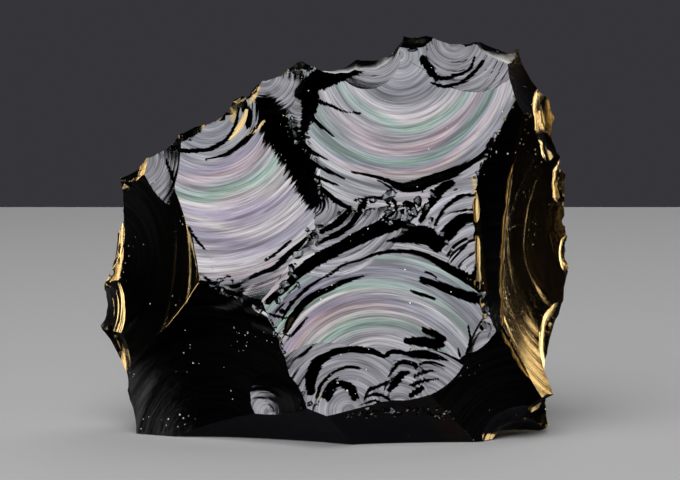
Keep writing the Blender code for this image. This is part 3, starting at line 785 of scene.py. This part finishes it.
def drawn(kinds, x, z, blow=None):
    """How fully strokes of the kinds cover each place, 0 to 1; a step is softer towards the blow."""
    total = np.zeros(x.shape)
    for kind, stroke, chosen, signed, half in close_strokes(kinds, x, z, STROKE_REACH):
        if kind == "step":
            outward = outward_of(stroke, signed, blow)
            crisp = 1 - (outward - half + 0.1) / 0.45
            soft = 1 - (-outward - 0.7 * half + 0.1) / (0.4 + 0.5 * half)
            cover = smooth(np.minimum(crisp, soft))
        else:
            cover = smooth(1 - (np.abs(signed) - half) / SOFTNESS[kind])
        total[chosen] = np.maximum(total[chosen], cover)
    return total


def great_heights(name, bowl, seed):
    """The relief of a great scar."""
    spacing = SCARS[name][3]
    height = RIPPLES.get(name, OTHER_RIPPLES)
    curl_start, curl = CURLS.get(name, (0.0, 0.0))

    def heights(distance, angle):
        ring = ring_distance(distance, angle, LEADS.get(name, 0.0))
        swell = 0.3 * drift(distance, angle, seed, 45, 1.2) * np.clip(distance / 25, 0, 1)
        rise = curl * np.clip(distance - curl_start, 0, None) ** 2
        total = ripples(ring, angle, spacing, height, seed) + swell + rise
        if name in TEARS:
            total = total + tears(distance, angle, bowl, seed + 400, *TEARS[name])
        if name in FRONT:
            total = total + scarps(bowl.places(distance, angle), bowl.blow)
        return total

    return heights


def chip_heights(name, bowl, seed):
    """The relief of a chip."""
    spacing, height = CHIPS[name][-2:]

    def heights(distance, angle):
        total = ripples(distance, angle, spacing * 0.8, height * 0.6, seed)
        if name in TOES:
            total = total + scarps(bowl.places(distance, angle), bowl.blow)
        return total

    return heights


def mark(mesh, scar):
    """Write the scar's number on every face."""
    numbers = mesh.attributes.new("scar", "INT", "FACE")
    numbers.data.foreach_set("value", np.full(len(mesh.polygons), scar, np.int32))


def object_of(name, bm, scar):
    """An object made from the bmesh, its faces marked with the scar's number."""
    mesh = bpy.data.meshes.new(name)
    bm.to_mesh(mesh)
    bm.free()
    mark(mesh, scar)
    return bpy.data.objects.new(name, mesh)


def tube(name, points, first, turns, rings, tips, scar):
    """An object of rings of points joined by quads, closed at both ends by fans to the tips."""
    here = np.arange(turns)
    after = (here + 1) % turns
    start = first + turns * np.arange(rings - 1)[:, None]
    quads = np.stack([start + here, start + after, start + turns + after, start + turns + here], -1)
    last = first + turns * (rings - 1)
    low = np.stack([np.full(turns, tips[0]), first + after, first + here], 1)
    high = np.stack([np.full(turns, tips[1]), last + here, last + after], 1)
    loops = np.concatenate([quads.ravel(), low.ravel(), high.ravel()]).astype(np.int32)
    sides = np.repeat([4, 3], [turns * (rings - 1), 2 * turns])
    mesh = bpy.data.meshes.new(name)
    mesh.vertices.add(len(points))
    mesh.vertices.foreach_set("co", np.asarray(points * MM, np.float32).ravel())
    mesh.loops.add(len(loops))
    mesh.loops.foreach_set("vertex_index", loops)
    mesh.polygons.add(len(sides))
    mesh.polygons.foreach_set("loop_start", (np.cumsum(sides) - sides).astype(np.int32))
    mesh.update(calc_edges=True)
    mark(mesh, scar)
    return bpy.data.objects.new(name, mesh)


def bowl_cutter(name, bowl, heights, steps, tall, scar):
    """Rings of points round the blow, raised by the heights and closed above.

    The angles are close together on the rock's side of the blow and far apart behind it.
    """
    step, ring_step = steps
    reach = bowl.reach * REACH_MARGIN + 3 * step
    count = max(3, int(reach / step))
    fine = np.arange(-ROCK_SIDE, ROCK_SIDE, ring_step / (reach * MID_REACH))
    angles = np.concatenate([fine, np.arange(ROCK_SIDE, FULL_TURN - ROCK_SIDE, FAR_STEP)])
    turns = len(angles)
    distance, angle = np.meshgrid(np.linspace(0, reach, count + 1)[1:], angles, indexing="ij")
    radius = bowl.radius - heights(distance, angle)
    lean = distance / bowl.radius
    flat = radius * np.sin(lean)
    rings = np.stack([flat * np.cos(angle), flat * np.sin(angle), bowl.radius - radius * np.cos(lean)], -1)
    top = float(rings[..., 2].max()) + tall
    pole = np.array([[0, 0, rings[0, :, 2].mean()]])
    wall = np.stack([rings[-1, :, 0], rings[-1, :, 1], np.full(turns, top)], -1)
    points = np.concatenate([pole, rings.reshape(-1, 3), wall, [[0, 0, top]]])
    points = points @ np.stack([bowl.across, bowl.side, bowl.axis], 1).T + bowl.blow
    if bowl.stretch is not None:
        along, across, ratio = bowl.stretch
        away = points - bowl.middle
        points = (points + np.outer(away @ along, along) * (ratio - 1)
                  + np.outer(away @ across, across) * (1 / ratio - 1))
    return tube(name, points, 1, turns, count + 1, (0, len(points) - 1), scar)


def grown_block():
    """The block before it is broken: the hull of all corners, grown about the chunk's middle."""
    bm = bmesh.new()
    middle = Vector(MIDDLE)
    for place in list(CORNERS.values()) + list(RIM):
        grown = middle + (Vector(place) - middle) * BLOCK_GROWTH
        grown.z = max(grown.z, 0.0)
        bm.verts.new(grown * MM)
    bmesh.ops.convex_hull(bm, input=bm.verts)
    bmesh.ops.delete(bm, geom=[v for v in bm.verts if not v.link_faces], context="VERTS")
    bmesh.ops.recalc_face_normals(bm, faces=bm.faces)
    return object_of("broken_glass", bm, BARE_BLOCK)


def cut(body, cutter):
    """Cut the body with the cutter, which is then gone."""
    bpy.context.scene.collection.objects.link(cutter)
    boolean = body.modifiers.new("cut", "BOOLEAN")
    boolean.operation = "DIFFERENCE"
    boolean.solver = "MANIFOLD"
    boolean.object = cutter
    graph = bpy.context.evaluated_depsgraph_get()
    mesh = bpy.data.meshes.new_from_object(body.evaluated_get(graph))
    body.modifiers.clear()
    old = body.data
    body.data = mesh
    bpy.data.meshes.remove(old)
    bpy.data.objects.remove(cutter)


def stretch_of_rim(index):
    """Start and end of one stretch of the outline, and its outward direction in its plane."""
    start = np.array(RIM[index])
    end = np.array(RIM[index + 1])
    out = unit(np.array([start[2] - end[2], 0, end[0] - start[0]]))
    return start, end, out if out @ ((start + end) / 2 - np.array(MIDDLE)) > 0 else -out


def rim_arc(index, part):
    """A point of the outline's scooped edge, part of the way along one stretch."""
    start, end, out = stretch_of_rim(index)
    sag = np.linalg.norm(end - start) * (RIM_RADIUS_TO_CHORD - math.sqrt(RIM_RADIUS_TO_CHORD ** 2 - 0.25))
    return start + (end - start) * part - out * sag * 4 * part * (1 - part)


def rim_scoop(index):
    """A shallow ball-shaped scoop between two neighbouring points of the outline."""
    start, end, out = stretch_of_rim(index)
    chord = np.linalg.norm(end - start)
    radius = chord * RIM_RADIUS_TO_CHORD
    out = unit(out + np.array([0, RIM_TILTS[index % 2], 0]))
    centre = Vector((start + end) / 2 + out * math.sqrt(radius ** 2 - chord ** 2 / 4)) * MM
    bm = bmesh.new()
    bmesh.ops.create_icosphere(bm, subdivisions=4, radius=radius * MM, matrix=Matrix.Translation(centre))
    phase = np.random.default_rng(SCOOP_SEED + index).uniform(0, 6, 3)
    for vert in bm.verts:
        away = vert.co - centre
        wave = math.sin(away.x / MM * 1.7 + phase[0]) + math.sin(away.z / MM * 1.9 + phase[1])
        vert.co = vert.co + away.normalized() * (SCOOP_WAVE * MM * wave)
    return object_of("rim_scoop", bm, FIRST_SCOOP + index)


def between(start, end, part, one, other):
    """A point of the arris where two bowls meet, part of the way between two corners."""
    place = start + (end - start) * part
    for _ in range(ARRIS_ROUNDS):
        for bowl in (one, other):
            place = bowl.centre + unit(place - bowl.centre) * bowl.radius
    return place


def spread_out(dice, length, spacing, least=0):
    """Shares of the way along a stretch, one in each equal part of it."""
    count = max(least, int(length / spacing))
    return (np.arange(count) + dice.uniform(0.2, 0.8, count)) / count


def nick_places(bowls):
    """Where the nicks are, which way each faces and its size: arrises, crushed places, rim."""
    dice = np.random.default_rng(NICK_SEED)
    places = []
    for one, other, first, last, scale in ARRISES:
        start, end = corner(first), corner(last)
        for part in spread_out(dice, np.linalg.norm(end - start) / NICK_SPACING, scale):
            place = between(start, end, part, bowls[one], bowls[other])
            share = dice.uniform(0.1, 0.9)
            normal = unit(bowls[one].centre - place) * share
            normal = normal + unit(bowls[other].centre - place) * (1 - share)
            places.append((place, unit(normal + dice.normal(0, 0.25, 3)), scale * dice.uniform(0.25, 0.8)))
    for name, (x, z), (wide, tall), count, size in CRUSHED:
        for _ in range(count):
            px = x + dice.normal(0, 0.6) * wide
            pz = z + dice.normal(0, 0.6) * tall
            place = np.array([px, max(bowls[b].depth_at(px, pz) for b in OUTER + TOES), pz])
            normal = unit(unit(bowls[name].centre - place) + dice.normal(0, 0.45, 3))
            places.append((place, normal, size * dice.uniform(0.5, 1.2)))
    for index in RIM_STRETCHES:
        start, end, out = stretch_of_rim(index)
        for part in spread_out(dice, np.linalg.norm(start - end), NICK_SPACING, 2):
            lean = dice.choice(RIM_LEANS)
            normal = out + np.array([dice.normal(0, 0.2), lean, dice.normal(0, 0.2)])
            places.append((rim_arc(index, part), unit(normal), dice.uniform(0.6, 1.8)))
    return places


def nick_cutters(bowls):
    """Lens-shaped cutters for the nicks, in batches that don't touch one another."""
    dice = np.random.default_rng(NICK_SHAPE_SEED)
    places = nick_places(bowls)
    for batch in range(NICK_BATCHES):
        bm = bmesh.new()
        for place, normal, size in places[batch::NICK_BATCHES]:
            flat = size * dice.uniform(0.45, 0.8)
            grow = Matrix.Diagonal((size * 1.5, size * dice.uniform(0.8, 1.3), flat, 1))
            turn = Vector(normal).to_track_quat("Z", "Y").to_matrix().to_4x4()
            roll = Matrix.Rotation(dice.uniform(0, math.pi), 4, "Z")
            centre = Vector(place + normal * flat * dice.uniform(0.45, 0.8)) * MM
            matrix = Matrix.Translation(centre) @ turn @ roll @ grow
            bmesh.ops.create_icosphere(bm, subdivisions=1, radius=MM, matrix=matrix)
        yield object_of("nicks", bm, NICK)


def groove_cutter(stretches, radius, depth, bowls, seed):
    """A thin rod that follows an arris and bites a little into it."""
    places = []
    facings = []
    for one, other, first, last in stretches:
        start, end = corner(first), corner(last)
        for part in np.linspace(0, 1, GROOVE_POINTS, endpoint=False):
            place = between(start, end, part, bowls[one], bowls[other])
            places.append(place)
            facings.append(unit(unit(bowls[one].centre - place) + unit(bowls[other].centre - place)))
    facings = np.array(facings)
    count = len(places)
    steps = np.arange(count)
    dice = np.random.default_rng(seed)
    sway = sum(dice.normal(0, 0.5) * np.sin(steps * rate + dice.uniform(0, 6)) for rate in SWAY_RATES)
    ends = smooth(np.minimum(steps, count - 1 - steps) / 4)
    bite = depth * (1 + 0.4 * sway) * ends - 0.3 * (1 - ends)
    centres = np.array(places) + facings * (radius - bite)[:, None]
    ahead = units(np.gradient(centres, axis=0))
    out = units(facings - ahead * (facings * ahead).sum(1)[:, None])
    side = np.cross(ahead, out)
    turn = np.arange(GROOVE_SIDES) * FULL_TURN / GROOVE_SIDES
    ring = np.cos(turn)[None, :, None] * out[:, None] + np.sin(turn)[None, :, None] * side[:, None]
    points = centres[:, None] + ring * radius
    points = np.concatenate([points.reshape(-1, 3), centres[:1], centres[-1:]])
    tips = (len(points) - 2, len(points) - 1)
    return tube("groove", points, 0, GROOVE_SIDES, count, tips, GROOVE)


def broken_block(bowls):
    """The chunk's mesh: nicks, grooves and rim first, then the chips, then the great scars."""
    body = grown_block()
    bpy.context.scene.collection.objects.link(body)
    for cutter in nick_cutters(bowls):
        cut(body, cutter)
    for number, (stretches, radius, depth) in enumerate(GROOVES):
        cut(body, groove_cutter(stretches, radius, depth, bowls, GROOVE_SEED + number))
    for index in RIM_STRETCHES:
        cut(body, rim_scoop(index))
    for number, name in enumerate(CHIPS):
        relief = chip_heights(name, bowls[name], CHIP_SEED + 11 * number)
        scar = FIRST_CHIP + number
        cut(body, bowl_cutter(name, bowls[name], relief, CHIP_STEPS, CHIP_CUTTER_HEIGHT, scar))
    for number, name in enumerate(SCARS):
        relief = great_heights(name, bowls[name], 1 + 7 * number)
        steps = BACK_STEPS if name.startswith("back") else FRONT_STEPS if name in LINED else SIDE_STEPS
        cut(body, bowl_cutter(name, bowls[name], relief, steps, CUTTER_HEIGHT, number))
    return body


def read(data, name, parts=1, kind=np.int32):
    """One property of the mesh's points, faces or face corners, as an array."""
    values = np.zeros(len(data) * parts, kind)
    data.foreach_get(name, values)
    return values.reshape(-1, parts) if parts > 1 else values


def shade(mesh, numbers):
    """Smooth within a scar, sharp where two scars meet or the surface bends hard."""
    mesh.shade_smooth()
    face_of_loop = np.repeat(np.arange(len(mesh.polygons)), read(mesh.polygons, "loop_total"))
    normals = read(mesh.polygons, "normal", 3, np.float32)
    order = np.argsort(read(mesh.loops, "edge_index"), kind="stable")
    one, other = face_of_loop[order].reshape(-1, 2).T
    bend = np.degrees(np.arccos(np.clip((normals[one] * normals[other]).sum(1), -1, 1)))
    arris = (numbers[one] != numbers[other]) & (bend > SCAR_CREASE)
    nicked = (numbers[one] == NICK) & (bend > NICK_CREASE)
    mark_sharp = mesh.attributes.new("sharp_edge", "BOOLEAN", "EDGE")
    mark_sharp.data.foreach_set("value", (bend > CREASE) | arris | nicked)


def pastels(name, number, ring, angle, x, z):
    """The film of a great scar: bands along its rings, richest where the scar glows."""
    wander = 1.6 * drift(ring, angle, BAND_SEED + number, 30, 1.6)
    wander = wander + 0.5 * drift(ring, angle, BAND_SEED + 50 + number, 9, 4)
    stops, colours = zip(*SHEEN[name])
    bands = np.stack([np.interp(ring + wander, stops, channel) for channel in zip(*colours)], -1)
    glow_x, glow_z, wide = GLOW[name]
    away = (x - glow_x) ** 2 + (z - glow_z) ** 2
    strength = 0.3 + 0.7 * np.exp(-away / (2 * wide ** 2))
    grey = np.repeat(bands.mean(1)[:, None], 3, 1) * np.array(SILVER)
    return (grey + (bands - grey) * RICHNESS * strength[:, None]) * BRIGHTNESS[name]


def film_colour(name, number, ring, angle, x, z):
    """Colour of the mirroring film on a scar or chip, or None where the glass is bare."""
    if name in SHEEN:
        return pastels(name, number, ring, angle, x, z)
    # Painted shade: a darkened film; along the folds on low_left it is lifted to full, a painted highlight.
    if name in SHADE_PAINTED_FILM:
        pale = drawn(("fold",), x, z)[:, None] if name == "low_left" else 0
        return SHADE_PAINTED_FILM[name] + (1 - SHADE_PAINTED_FILM[name]) * pale
    # Painted shade with a painted warm reflection on right_side.
    if name == "right_side":
        return WARM_SHADED_FILM
    if name in PALE:
        brightness = CHIP_BRIGHTNESS if name in CHIPS else SCAR_BRIGHTNESS
        wander = 0.1 * drift(ring, angle, BAND_SEED + 80 + number, 6, 3)[:, None]
        return np.array(PEARL) * brightness * (1 + wander)
    return None


def paint(mesh, numbers, bowls):
    """Write the ring coordinates, the shadow and the film of every face corner."""
    sizes = read(mesh.polygons, "loop_total")
    scar = np.repeat(numbers, sizes)
    points = (read(mesh.vertices, "co", 3, np.float32) / MM)[read(mesh.loops, "vertex_index")]
    x, y, z = points.T
    rings = np.zeros((len(scar), 3), np.float32)
    shadow = np.zeros(len(scar), np.float32)
    sheen = np.zeros((len(scar), 4), np.float32)
    sheen[:, :3] = PEARL
    glint = np.random.default_rng(GLINT_SEED).uniform(0, 1, len(numbers)) ** 1.5
    glint = np.repeat(glint, sizes)[:, None]
    broken = scar >= FIRST_SCOOP
    sheen[broken, :3] = ((0.08 + 0.7 * glint) * np.array(SILVER))[broken]
    sheen[broken, 3] = 1.0
    rings[broken] = np.stack([2 * x, 2 * z, y], -1)[broken]
    # Broken faces at the left, right and upper left, and the grooves, get a painted gold reflection.
    upper_left = (x < GOLD_UPPER_LEFT[0]) & (z > GOLD_UPPER_LEFT[1])
    gold_glint_edges = broken & ((x < GOLD_LEFT) | (x > GOLD_RIGHT) | upper_left | (scar == GROOVE))
    sheen[gold_glint_edges, :3] = ((0.3 + 0.7 * glint) * np.array(GOLD_EDGE_GLINT))[gold_glint_edges]
    names = dict(enumerate(SCARS))
    names.update(enumerate(CHIPS, FIRST_CHIP))
    for number, name in names.items():
        chosen = scar == number
        distance, angle = bowls[name].polar(points[chosen])
        ring = ring_distance(distance, angle, LEADS.get(name, 0.0))
        rings[chosen] = np.stack([ring, angle * distance, np.full(len(ring), number * STREAK_SHIFT)], -1)
        if name in PALE:
            # Painted shade along the dark strokes, where ripple faces would mirror the dark room.
            shadow[chosen] = drawn(SHADE_PAINT_KINDS, x[chosen], z[chosen], bowls[name].blow)
        colour = film_colour(name, number, ring, angle, x[chosen], z[chosen])
        if colour is not None:
            sheen[chosen, :3] = colour
            sheen[chosen, 3] = 1.0
    # Painted gold reflection of the warm lamps along the gold strokes, clearing the painted shade there.
    gold = drawn(("gold",), x, z) * sheen[:, 3]
    sheen[:, :3] += gold[:, None] * (GOLD_GLINT_FILM - sheen[:, :3])
    shadow *= 1 - gold
    mesh.attributes.new("rings", "FLOAT_VECTOR", "CORNER").data.foreach_set("vector", rings.ravel())
    mesh.attributes.new("shadow", "FLOAT", "CORNER").data.foreach_set("value", shadow)
    mesh.attributes.new("sheen", "FLOAT_COLOR", "CORNER").data.foreach_set("color", sheen.ravel())


class Nodes:
    """Short calls to build a node tree."""

    def __init__(self, material):
        material.use_nodes = True
        self.tree = material.node_tree
        self.tree.nodes.clear()

    def add(self, kind, **settings):
        """A node with its settings; a setting named in_NAME or in_NUMBER fills an input."""
        node = self.tree.nodes.new(kind)
        for key, value in settings.items():
            if key.startswith("in_"):
                socket = key[3:]
                self.put(value, node.inputs[int(socket) if socket.isdigit() else socket.replace("_", " ")])
            else:
                setattr(node, key, value)
        return node

    def put(self, value, socket):
        """Link an output, or set a value."""
        if isinstance(value, bpy.types.NodeSocket):
            self.tree.links.new(value, socket)
        else:
            socket.default_value = value

    def surface(self, shader):
        """The material's surface is this shader."""
        self.add("ShaderNodeOutputMaterial", in_0=shader.outputs[0])

    def math(self, operation, first, second=0.0):
        """Output of a maths node."""
        return self.add("ShaderNodeMath", operation=operation, in_0=first, in_1=second).outputs[0]

    def times(self, first, second):
        """Product of two values."""
        return self.math("MULTIPLY", first, second)

    def plus(self, first, second):
        """Sum of two values."""
        return self.math("ADD", first, second)

    def minus(self, first, second):
        """Difference of two values."""
        return self.math("SUBTRACT", first, second)

    def noise(self, vector, scale, detail=2.0, roughness=0.5):
        """Output of a noise texture."""
        return self.add("ShaderNodeTexNoise", in_Vector=vector, in_Scale=scale, in_Detail=detail,
                        in_Roughness=roughness).outputs["Fac"]

    def dots(self, vector, scale, radius):
        """1 within the radius of scattered points, 0 elsewhere."""
        node = self.add("ShaderNodeTexVoronoi", in_Vector=vector, in_Scale=scale)
        return self.math("LESS_THAN", node.outputs["Distance"], radius)

    def fit(self, value, low, high, new_low=0.0, new_high=1.0):
        """Value moved smoothly from one range to another."""
        node = self.add("ShaderNodeMapRange", interpolation_type="SMOOTHSTEP", in_Value=value,
                        in_From_Min=low, in_From_Max=high, in_To_Min=new_low, in_To_Max=new_high)
        return node.outputs["Result"]

    def mix(self, factor, first, second):
        """Output of a colour mix."""
        return self.add("ShaderNodeMix", data_type="RGBA", in_0=factor, in_6=first, in_7=second).outputs[2]

    def scaled(self, vector, scale):
        """Output of a vector multiplied part by part."""
        return self.add("ShaderNodeVectorMath", operation="MULTIPLY", in_0=vector, in_1=scale).outputs[0]


BLACK_GLASS = (0.004, 0.004, 0.005, 1.0)
BROWN_GLASS = (0.020, 0.010, 0.003, 1.0)
DUST = (0.45, 0.43, 0.40, 1.0)
FILM_MIRROR = 0.052
GLASS_IOR = 1.55
BUMP_DEPTH = 0.00005
# Streaks along the rings: scale across them, along them, and between scars.
WIDE_STREAKS = (0.9, 0.035, 1.0)
TORN_STREAKS = (1.8, 0.09, 1.0)
FINE_STREAKS = (3.2, 0.09, 1.0)
SATIN_STREAKS = (5.0, 0.3, 1.0)


def glass():
    """Black glass: fine ring lines, pastel sheen on the great scars, specks of dust and small pits."""
    material = bpy.data.materials.new("obsidian")
    nodes = Nodes(material)
    place = nodes.add("ShaderNodeTexCoord").outputs["Object"]
    rings = nodes.add("ShaderNodeAttribute", attribute_name="rings").outputs["Vector"]
    shadow = nodes.add("ShaderNodeAttribute", attribute_name="shadow").outputs["Fac"]
    sheen = nodes.add("ShaderNodeAttribute", attribute_name="sheen")
    amount = sheen.outputs["Alpha"]
    cloud = nodes.noise(place, 45.0, 3.0)
    wide = nodes.noise(nodes.scaled(rings, WIDE_STREAKS), 1.0, 3.0, 0.65)
    fine = nodes.noise(nodes.scaled(rings, FINE_STREAKS), 1.0, 3.0, 0.65)
    torn = nodes.noise(nodes.scaled(rings, TORN_STREAKS), 1.0, 4.0, 0.7)

    # The film: streaked, and gone where a torn shadow lies.
    tear = nodes.fit(nodes.minus(nodes.times(shadow, 1.25), nodes.fit(torn, 0.3, 0.7)), -0.12, 0.12)
    tear = nodes.times(tear, nodes.fit(shadow, 0.0, 0.05))
    bright = nodes.times(nodes.fit(wide, 0.32, 0.64, 0.48, 1.04), nodes.fit(fine, 0.3, 0.7, 0.62, 1.14))
    bright = nodes.times(bright, nodes.minus(1.0, tear))
    pearl = nodes.add("ShaderNodeVectorMath", operation="SCALE", in_0=sheen.outputs["Color"],
                      in_Scale=bright).outputs[0]
    film = nodes.scaled(pearl, (FILM_MIRROR, FILM_MIRROR, FILM_MIRROR))
    brown = nodes.times(nodes.fit(cloud, 0.52, 0.75), 0.6)
    colour = nodes.mix(amount, nodes.mix(brown, BLACK_GLASS, BROWN_GLASS), film)

    # Specks of dust, which only show where the film is dark.
    speck = nodes.dots(place, 700.0, nodes.fit(nodes.noise(place, 120.0), 0.45, 0.7, 0.0, 0.17))
    green = nodes.add("ShaderNodeSeparateXYZ", in_0=pearl).outputs[1]
    dusty = nodes.times(speck, nodes.fit(green, 0.2, 0.32, 1.0, 0.0))
    colour = nodes.mix(nodes.times(dusty, 0.5), colour, DUST)

    # Fine relief: ring lines, satin, mist and small pits.
    pit = nodes.dots(place, 520.0, nodes.fit(nodes.noise(place, 60.0), 0.52, 0.75, 0.0, 0.15))
    satin = nodes.noise(nodes.scaled(rings, SATIN_STREAKS), 1.0, 2.0, 0.6)
    mist = nodes.noise(place, 900.0, 3.0)
    relief = nodes.plus(nodes.times(fine, 0.6), nodes.times(satin, 0.3))
    relief = nodes.minus(nodes.plus(relief, nodes.times(mist, 0.04)), nodes.times(pit, 0.8))
    bump = nodes.add("ShaderNodeBump", in_Strength=1.0, in_Distance=BUMP_DEPTH, in_Height=relief)

    rough = nodes.plus(nodes.fit(cloud, 0.3, 0.7, 0.05, 0.10), nodes.times(amount, 0.05))
    rough = nodes.math("MAXIMUM", rough, nodes.times(dusty, 0.6))
    metallic = nodes.times(amount, nodes.minus(1.0, dusty))
    nodes.surface(nodes.add("ShaderNodeBsdfPrincipled", in_Base_Color=colour, in_Metallic=metallic,
                            in_Roughness=rough, in_IOR=GLASS_IOR, in_Normal=bump.outputs[0]))
    return material


LOOK_AT = Vector(AIM) * MM
SENSOR = 36.0

PANEL_DISTANCE = 0.9
WARM_DISTANCE = 0.7
SKY_DISTANCE = 1.2
PLAIN_LIGHT = (1, 1, 1)
TOP_LIGHT = (1.0, 0.85, 0.6)
GOLD_LIGHT = (1.0, 0.70, 0.30)
SURROUNDINGS = (0.035, 0.035, 0.042, 1)
FLOOR_COLOUR = (0.45, 0.45, 0.45, 1)
FLOOR_HALF_SIZE = 0.6
FLOOR_HEIGHT = -0.0002
# Glowing panels: azimuth, elevation, width, height, radiance, colour, and the share of the panel
# over which it fades at its edges.
PANELS = {
    "front_softbox": (-14, 22, 3.0, 1.9, 13.5, PLAIN_LIGHT, (0.12, 0.14)),
    "fill_left": (-75, -14, 1.0, 0.9, 0.4, PLAIN_LIGHT, (0.5, 0.5)),
    "fill_right": (60, -28, 0.9, 0.7, 0.3, PLAIN_LIGHT, (0.5, 0.5)),
    "fill_brown": (118, 4, 0.25, 0.8, 0.06, GOLD_LIGHT, (0.5, 0.5)),
    "back_softbox": (178, 40, 1.1, 0.8, 2.6, PLAIN_LIGHT, (0.3, 0.3)),
    "top_softbox": (-40, 84, 0.4, 0.3, 3, TOP_LIGHT, (0.5, 0.5)),
}
# Warm lamps that make the gold edges: azimuth, elevation, width, height, radiance.
WARM_LAMPS = {
    "warm_left": (-128, 8, 0.16, 0.6, 14),
    "warm_right": (86, 4, 0.26, 0.7, 13),
    "warm_right_rim": (142, -8, 0.14, 0.35, 12),
    "warm_flare": (123, 6, 0.09, 0.08, 26),
}
# Soft lamps for the floor and the dust: azimuth, elevation, size, energy.
SKY_LAMPS = {"sky_front": (-20, 55, 1.2, 16), "sky_back": (150, 60, 0.8, 4)}


def placed(name, data, azimuth, elevation, distance, side=1):
    """An object that looks back at the chunk; its far side does where side is -1."""
    item = bpy.data.objects.new(name, data)
    bpy.context.scene.collection.objects.link(item)
    item.location = LOOK_AT + Vector(facing(azimuth, elevation)) * distance
    item.rotation_mode = "QUATERNION"
    item.rotation_quaternion = ((item.location - LOOK_AT) * side).to_track_quat("Z", "Y")
    return item


def camera():
    """The camera at the photograph's height and distance."""
    data = bpy.data.cameras.new("camera")
    data.sensor_width = SENSOR
    data.lens = PIXELS_PER_MM * CAMERA_DISTANCE * SENSOR / IMAGE_WIDTH
    data.clip_start = 0.01
    bpy.context.scene.camera = placed("camera", data, 0.0, CAMERA_ELEVATION, CAMERA_DISTANCE * MM)


def flat_sheet(name, half_size):
    """A square of one face."""
    bm = bmesh.new()
    bmesh.ops.create_grid(bm, x_segments=1, y_segments=1, size=half_size)
    mesh = bpy.data.meshes.new(name)
    bm.to_mesh(mesh)
    bm.free()
    mesh.materials.append(bpy.data.materials.new(name))
    return mesh


def panel(name, azimuth, elevation, width, height, radiance, colour, edge):
    """A glowing panel that fades towards its edges, seen only mirrored in the glass."""
    mesh = flat_sheet(name, 0.5)
    item = placed(name, mesh, azimuth, elevation, PANEL_DISTANCE, -1)
    item.scale = (width, height, 1)
    item.visible_camera = False
    item.visible_diffuse = False
    item.visible_shadow = False
    nodes = Nodes(mesh.materials[0])
    place = nodes.add("ShaderNodeTexCoord").outputs["Object"]
    parts = nodes.add("ShaderNodeSeparateXYZ", in_0=place).outputs
    across = nodes.minus(0.5, nodes.math("ABSOLUTE", parts[0]))
    along = nodes.minus(0.5, nodes.math("ABSOLUTE", parts[1]))
    fade = nodes.times(nodes.fit(across, 0.0, edge[0]), nodes.fit(along, 0.0, edge[1]))
    strength = nodes.times(fade, radiance)
    nodes.surface(nodes.add("ShaderNodeEmission", in_Color=(*colour, 1), in_Strength=strength))


def warm_lamp(name, azimuth, elevation, width, height, radiance):
    """A narrow warm lamp that is only seen mirrored in the glass."""
    data = bpy.data.lights.new(name, "AREA")
    data.shape = "RECTANGLE"
    data.size = width
    data.size_y = height
    data.energy = radiance * math.pi * width * height
    data.color = GOLD_LIGHT
    item = placed(name, data, azimuth, elevation, WARM_DISTANCE)
    item.visible_camera = False
    item.visible_diffuse = False


def sky_lamp(name, azimuth, elevation, size, energy):
    """A soft lamp for the floor and the dust, not seen mirrored in the glass."""
    data = bpy.data.lights.new(name, "AREA")
    data.size = size
    data.energy = energy
    placed(name, data, azimuth, elevation, SKY_DISTANCE).visible_glossy = False


def pale_floor():
    """A plain pale floor just under the chunk, not mirrored in the glass."""
    mesh = flat_sheet("floor", FLOOR_HALF_SIZE)
    floor = bpy.data.objects.new("floor", mesh)
    bpy.context.scene.collection.objects.link(floor)
    floor.location.z = FLOOR_HEIGHT
    material = mesh.materials[0]
    material.use_nodes = True
    shader = material.node_tree.nodes["Principled BSDF"]
    shader.inputs["Base Color"].default_value = FLOOR_COLOUR
    shader.inputs["Roughness"].default_value = 0.9
    shader.inputs["Specular IOR Level"].default_value = 0.0
    floor.visible_glossy = False


def studio():
    """Pale floor, dim surroundings, one large soft light in front, warm lamps at both sides."""
    pale_floor()
    for name, settings in PANELS.items():
        panel(name, *settings)
    for name, settings in WARM_LAMPS.items():
        warm_lamp(name, *settings)
    for name, settings in SKY_LAMPS.items():
        sky_lamp(name, *settings)
    world = bpy.data.worlds.new("studio")
    world.use_nodes = True
    world.node_tree.nodes["Background"].inputs[0].default_value = SURROUNDINGS
    bpy.context.scene.world = world
    bpy.context.scene.view_settings.view_transform = "Standard"


def main():
    """Dress the frame and light it."""
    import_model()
    body = broken_block(BOWLS)
    mesh = body.data
    numbers = read(mesh.attributes["scar"].data, "value")
    shade(mesh, numbers)
    paint(mesh, numbers, BOWLS)
    mesh.materials.clear()
    mesh.materials.append(glass())
    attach(body, "root")
    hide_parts(NODE)
    camera()
    studio()


main()
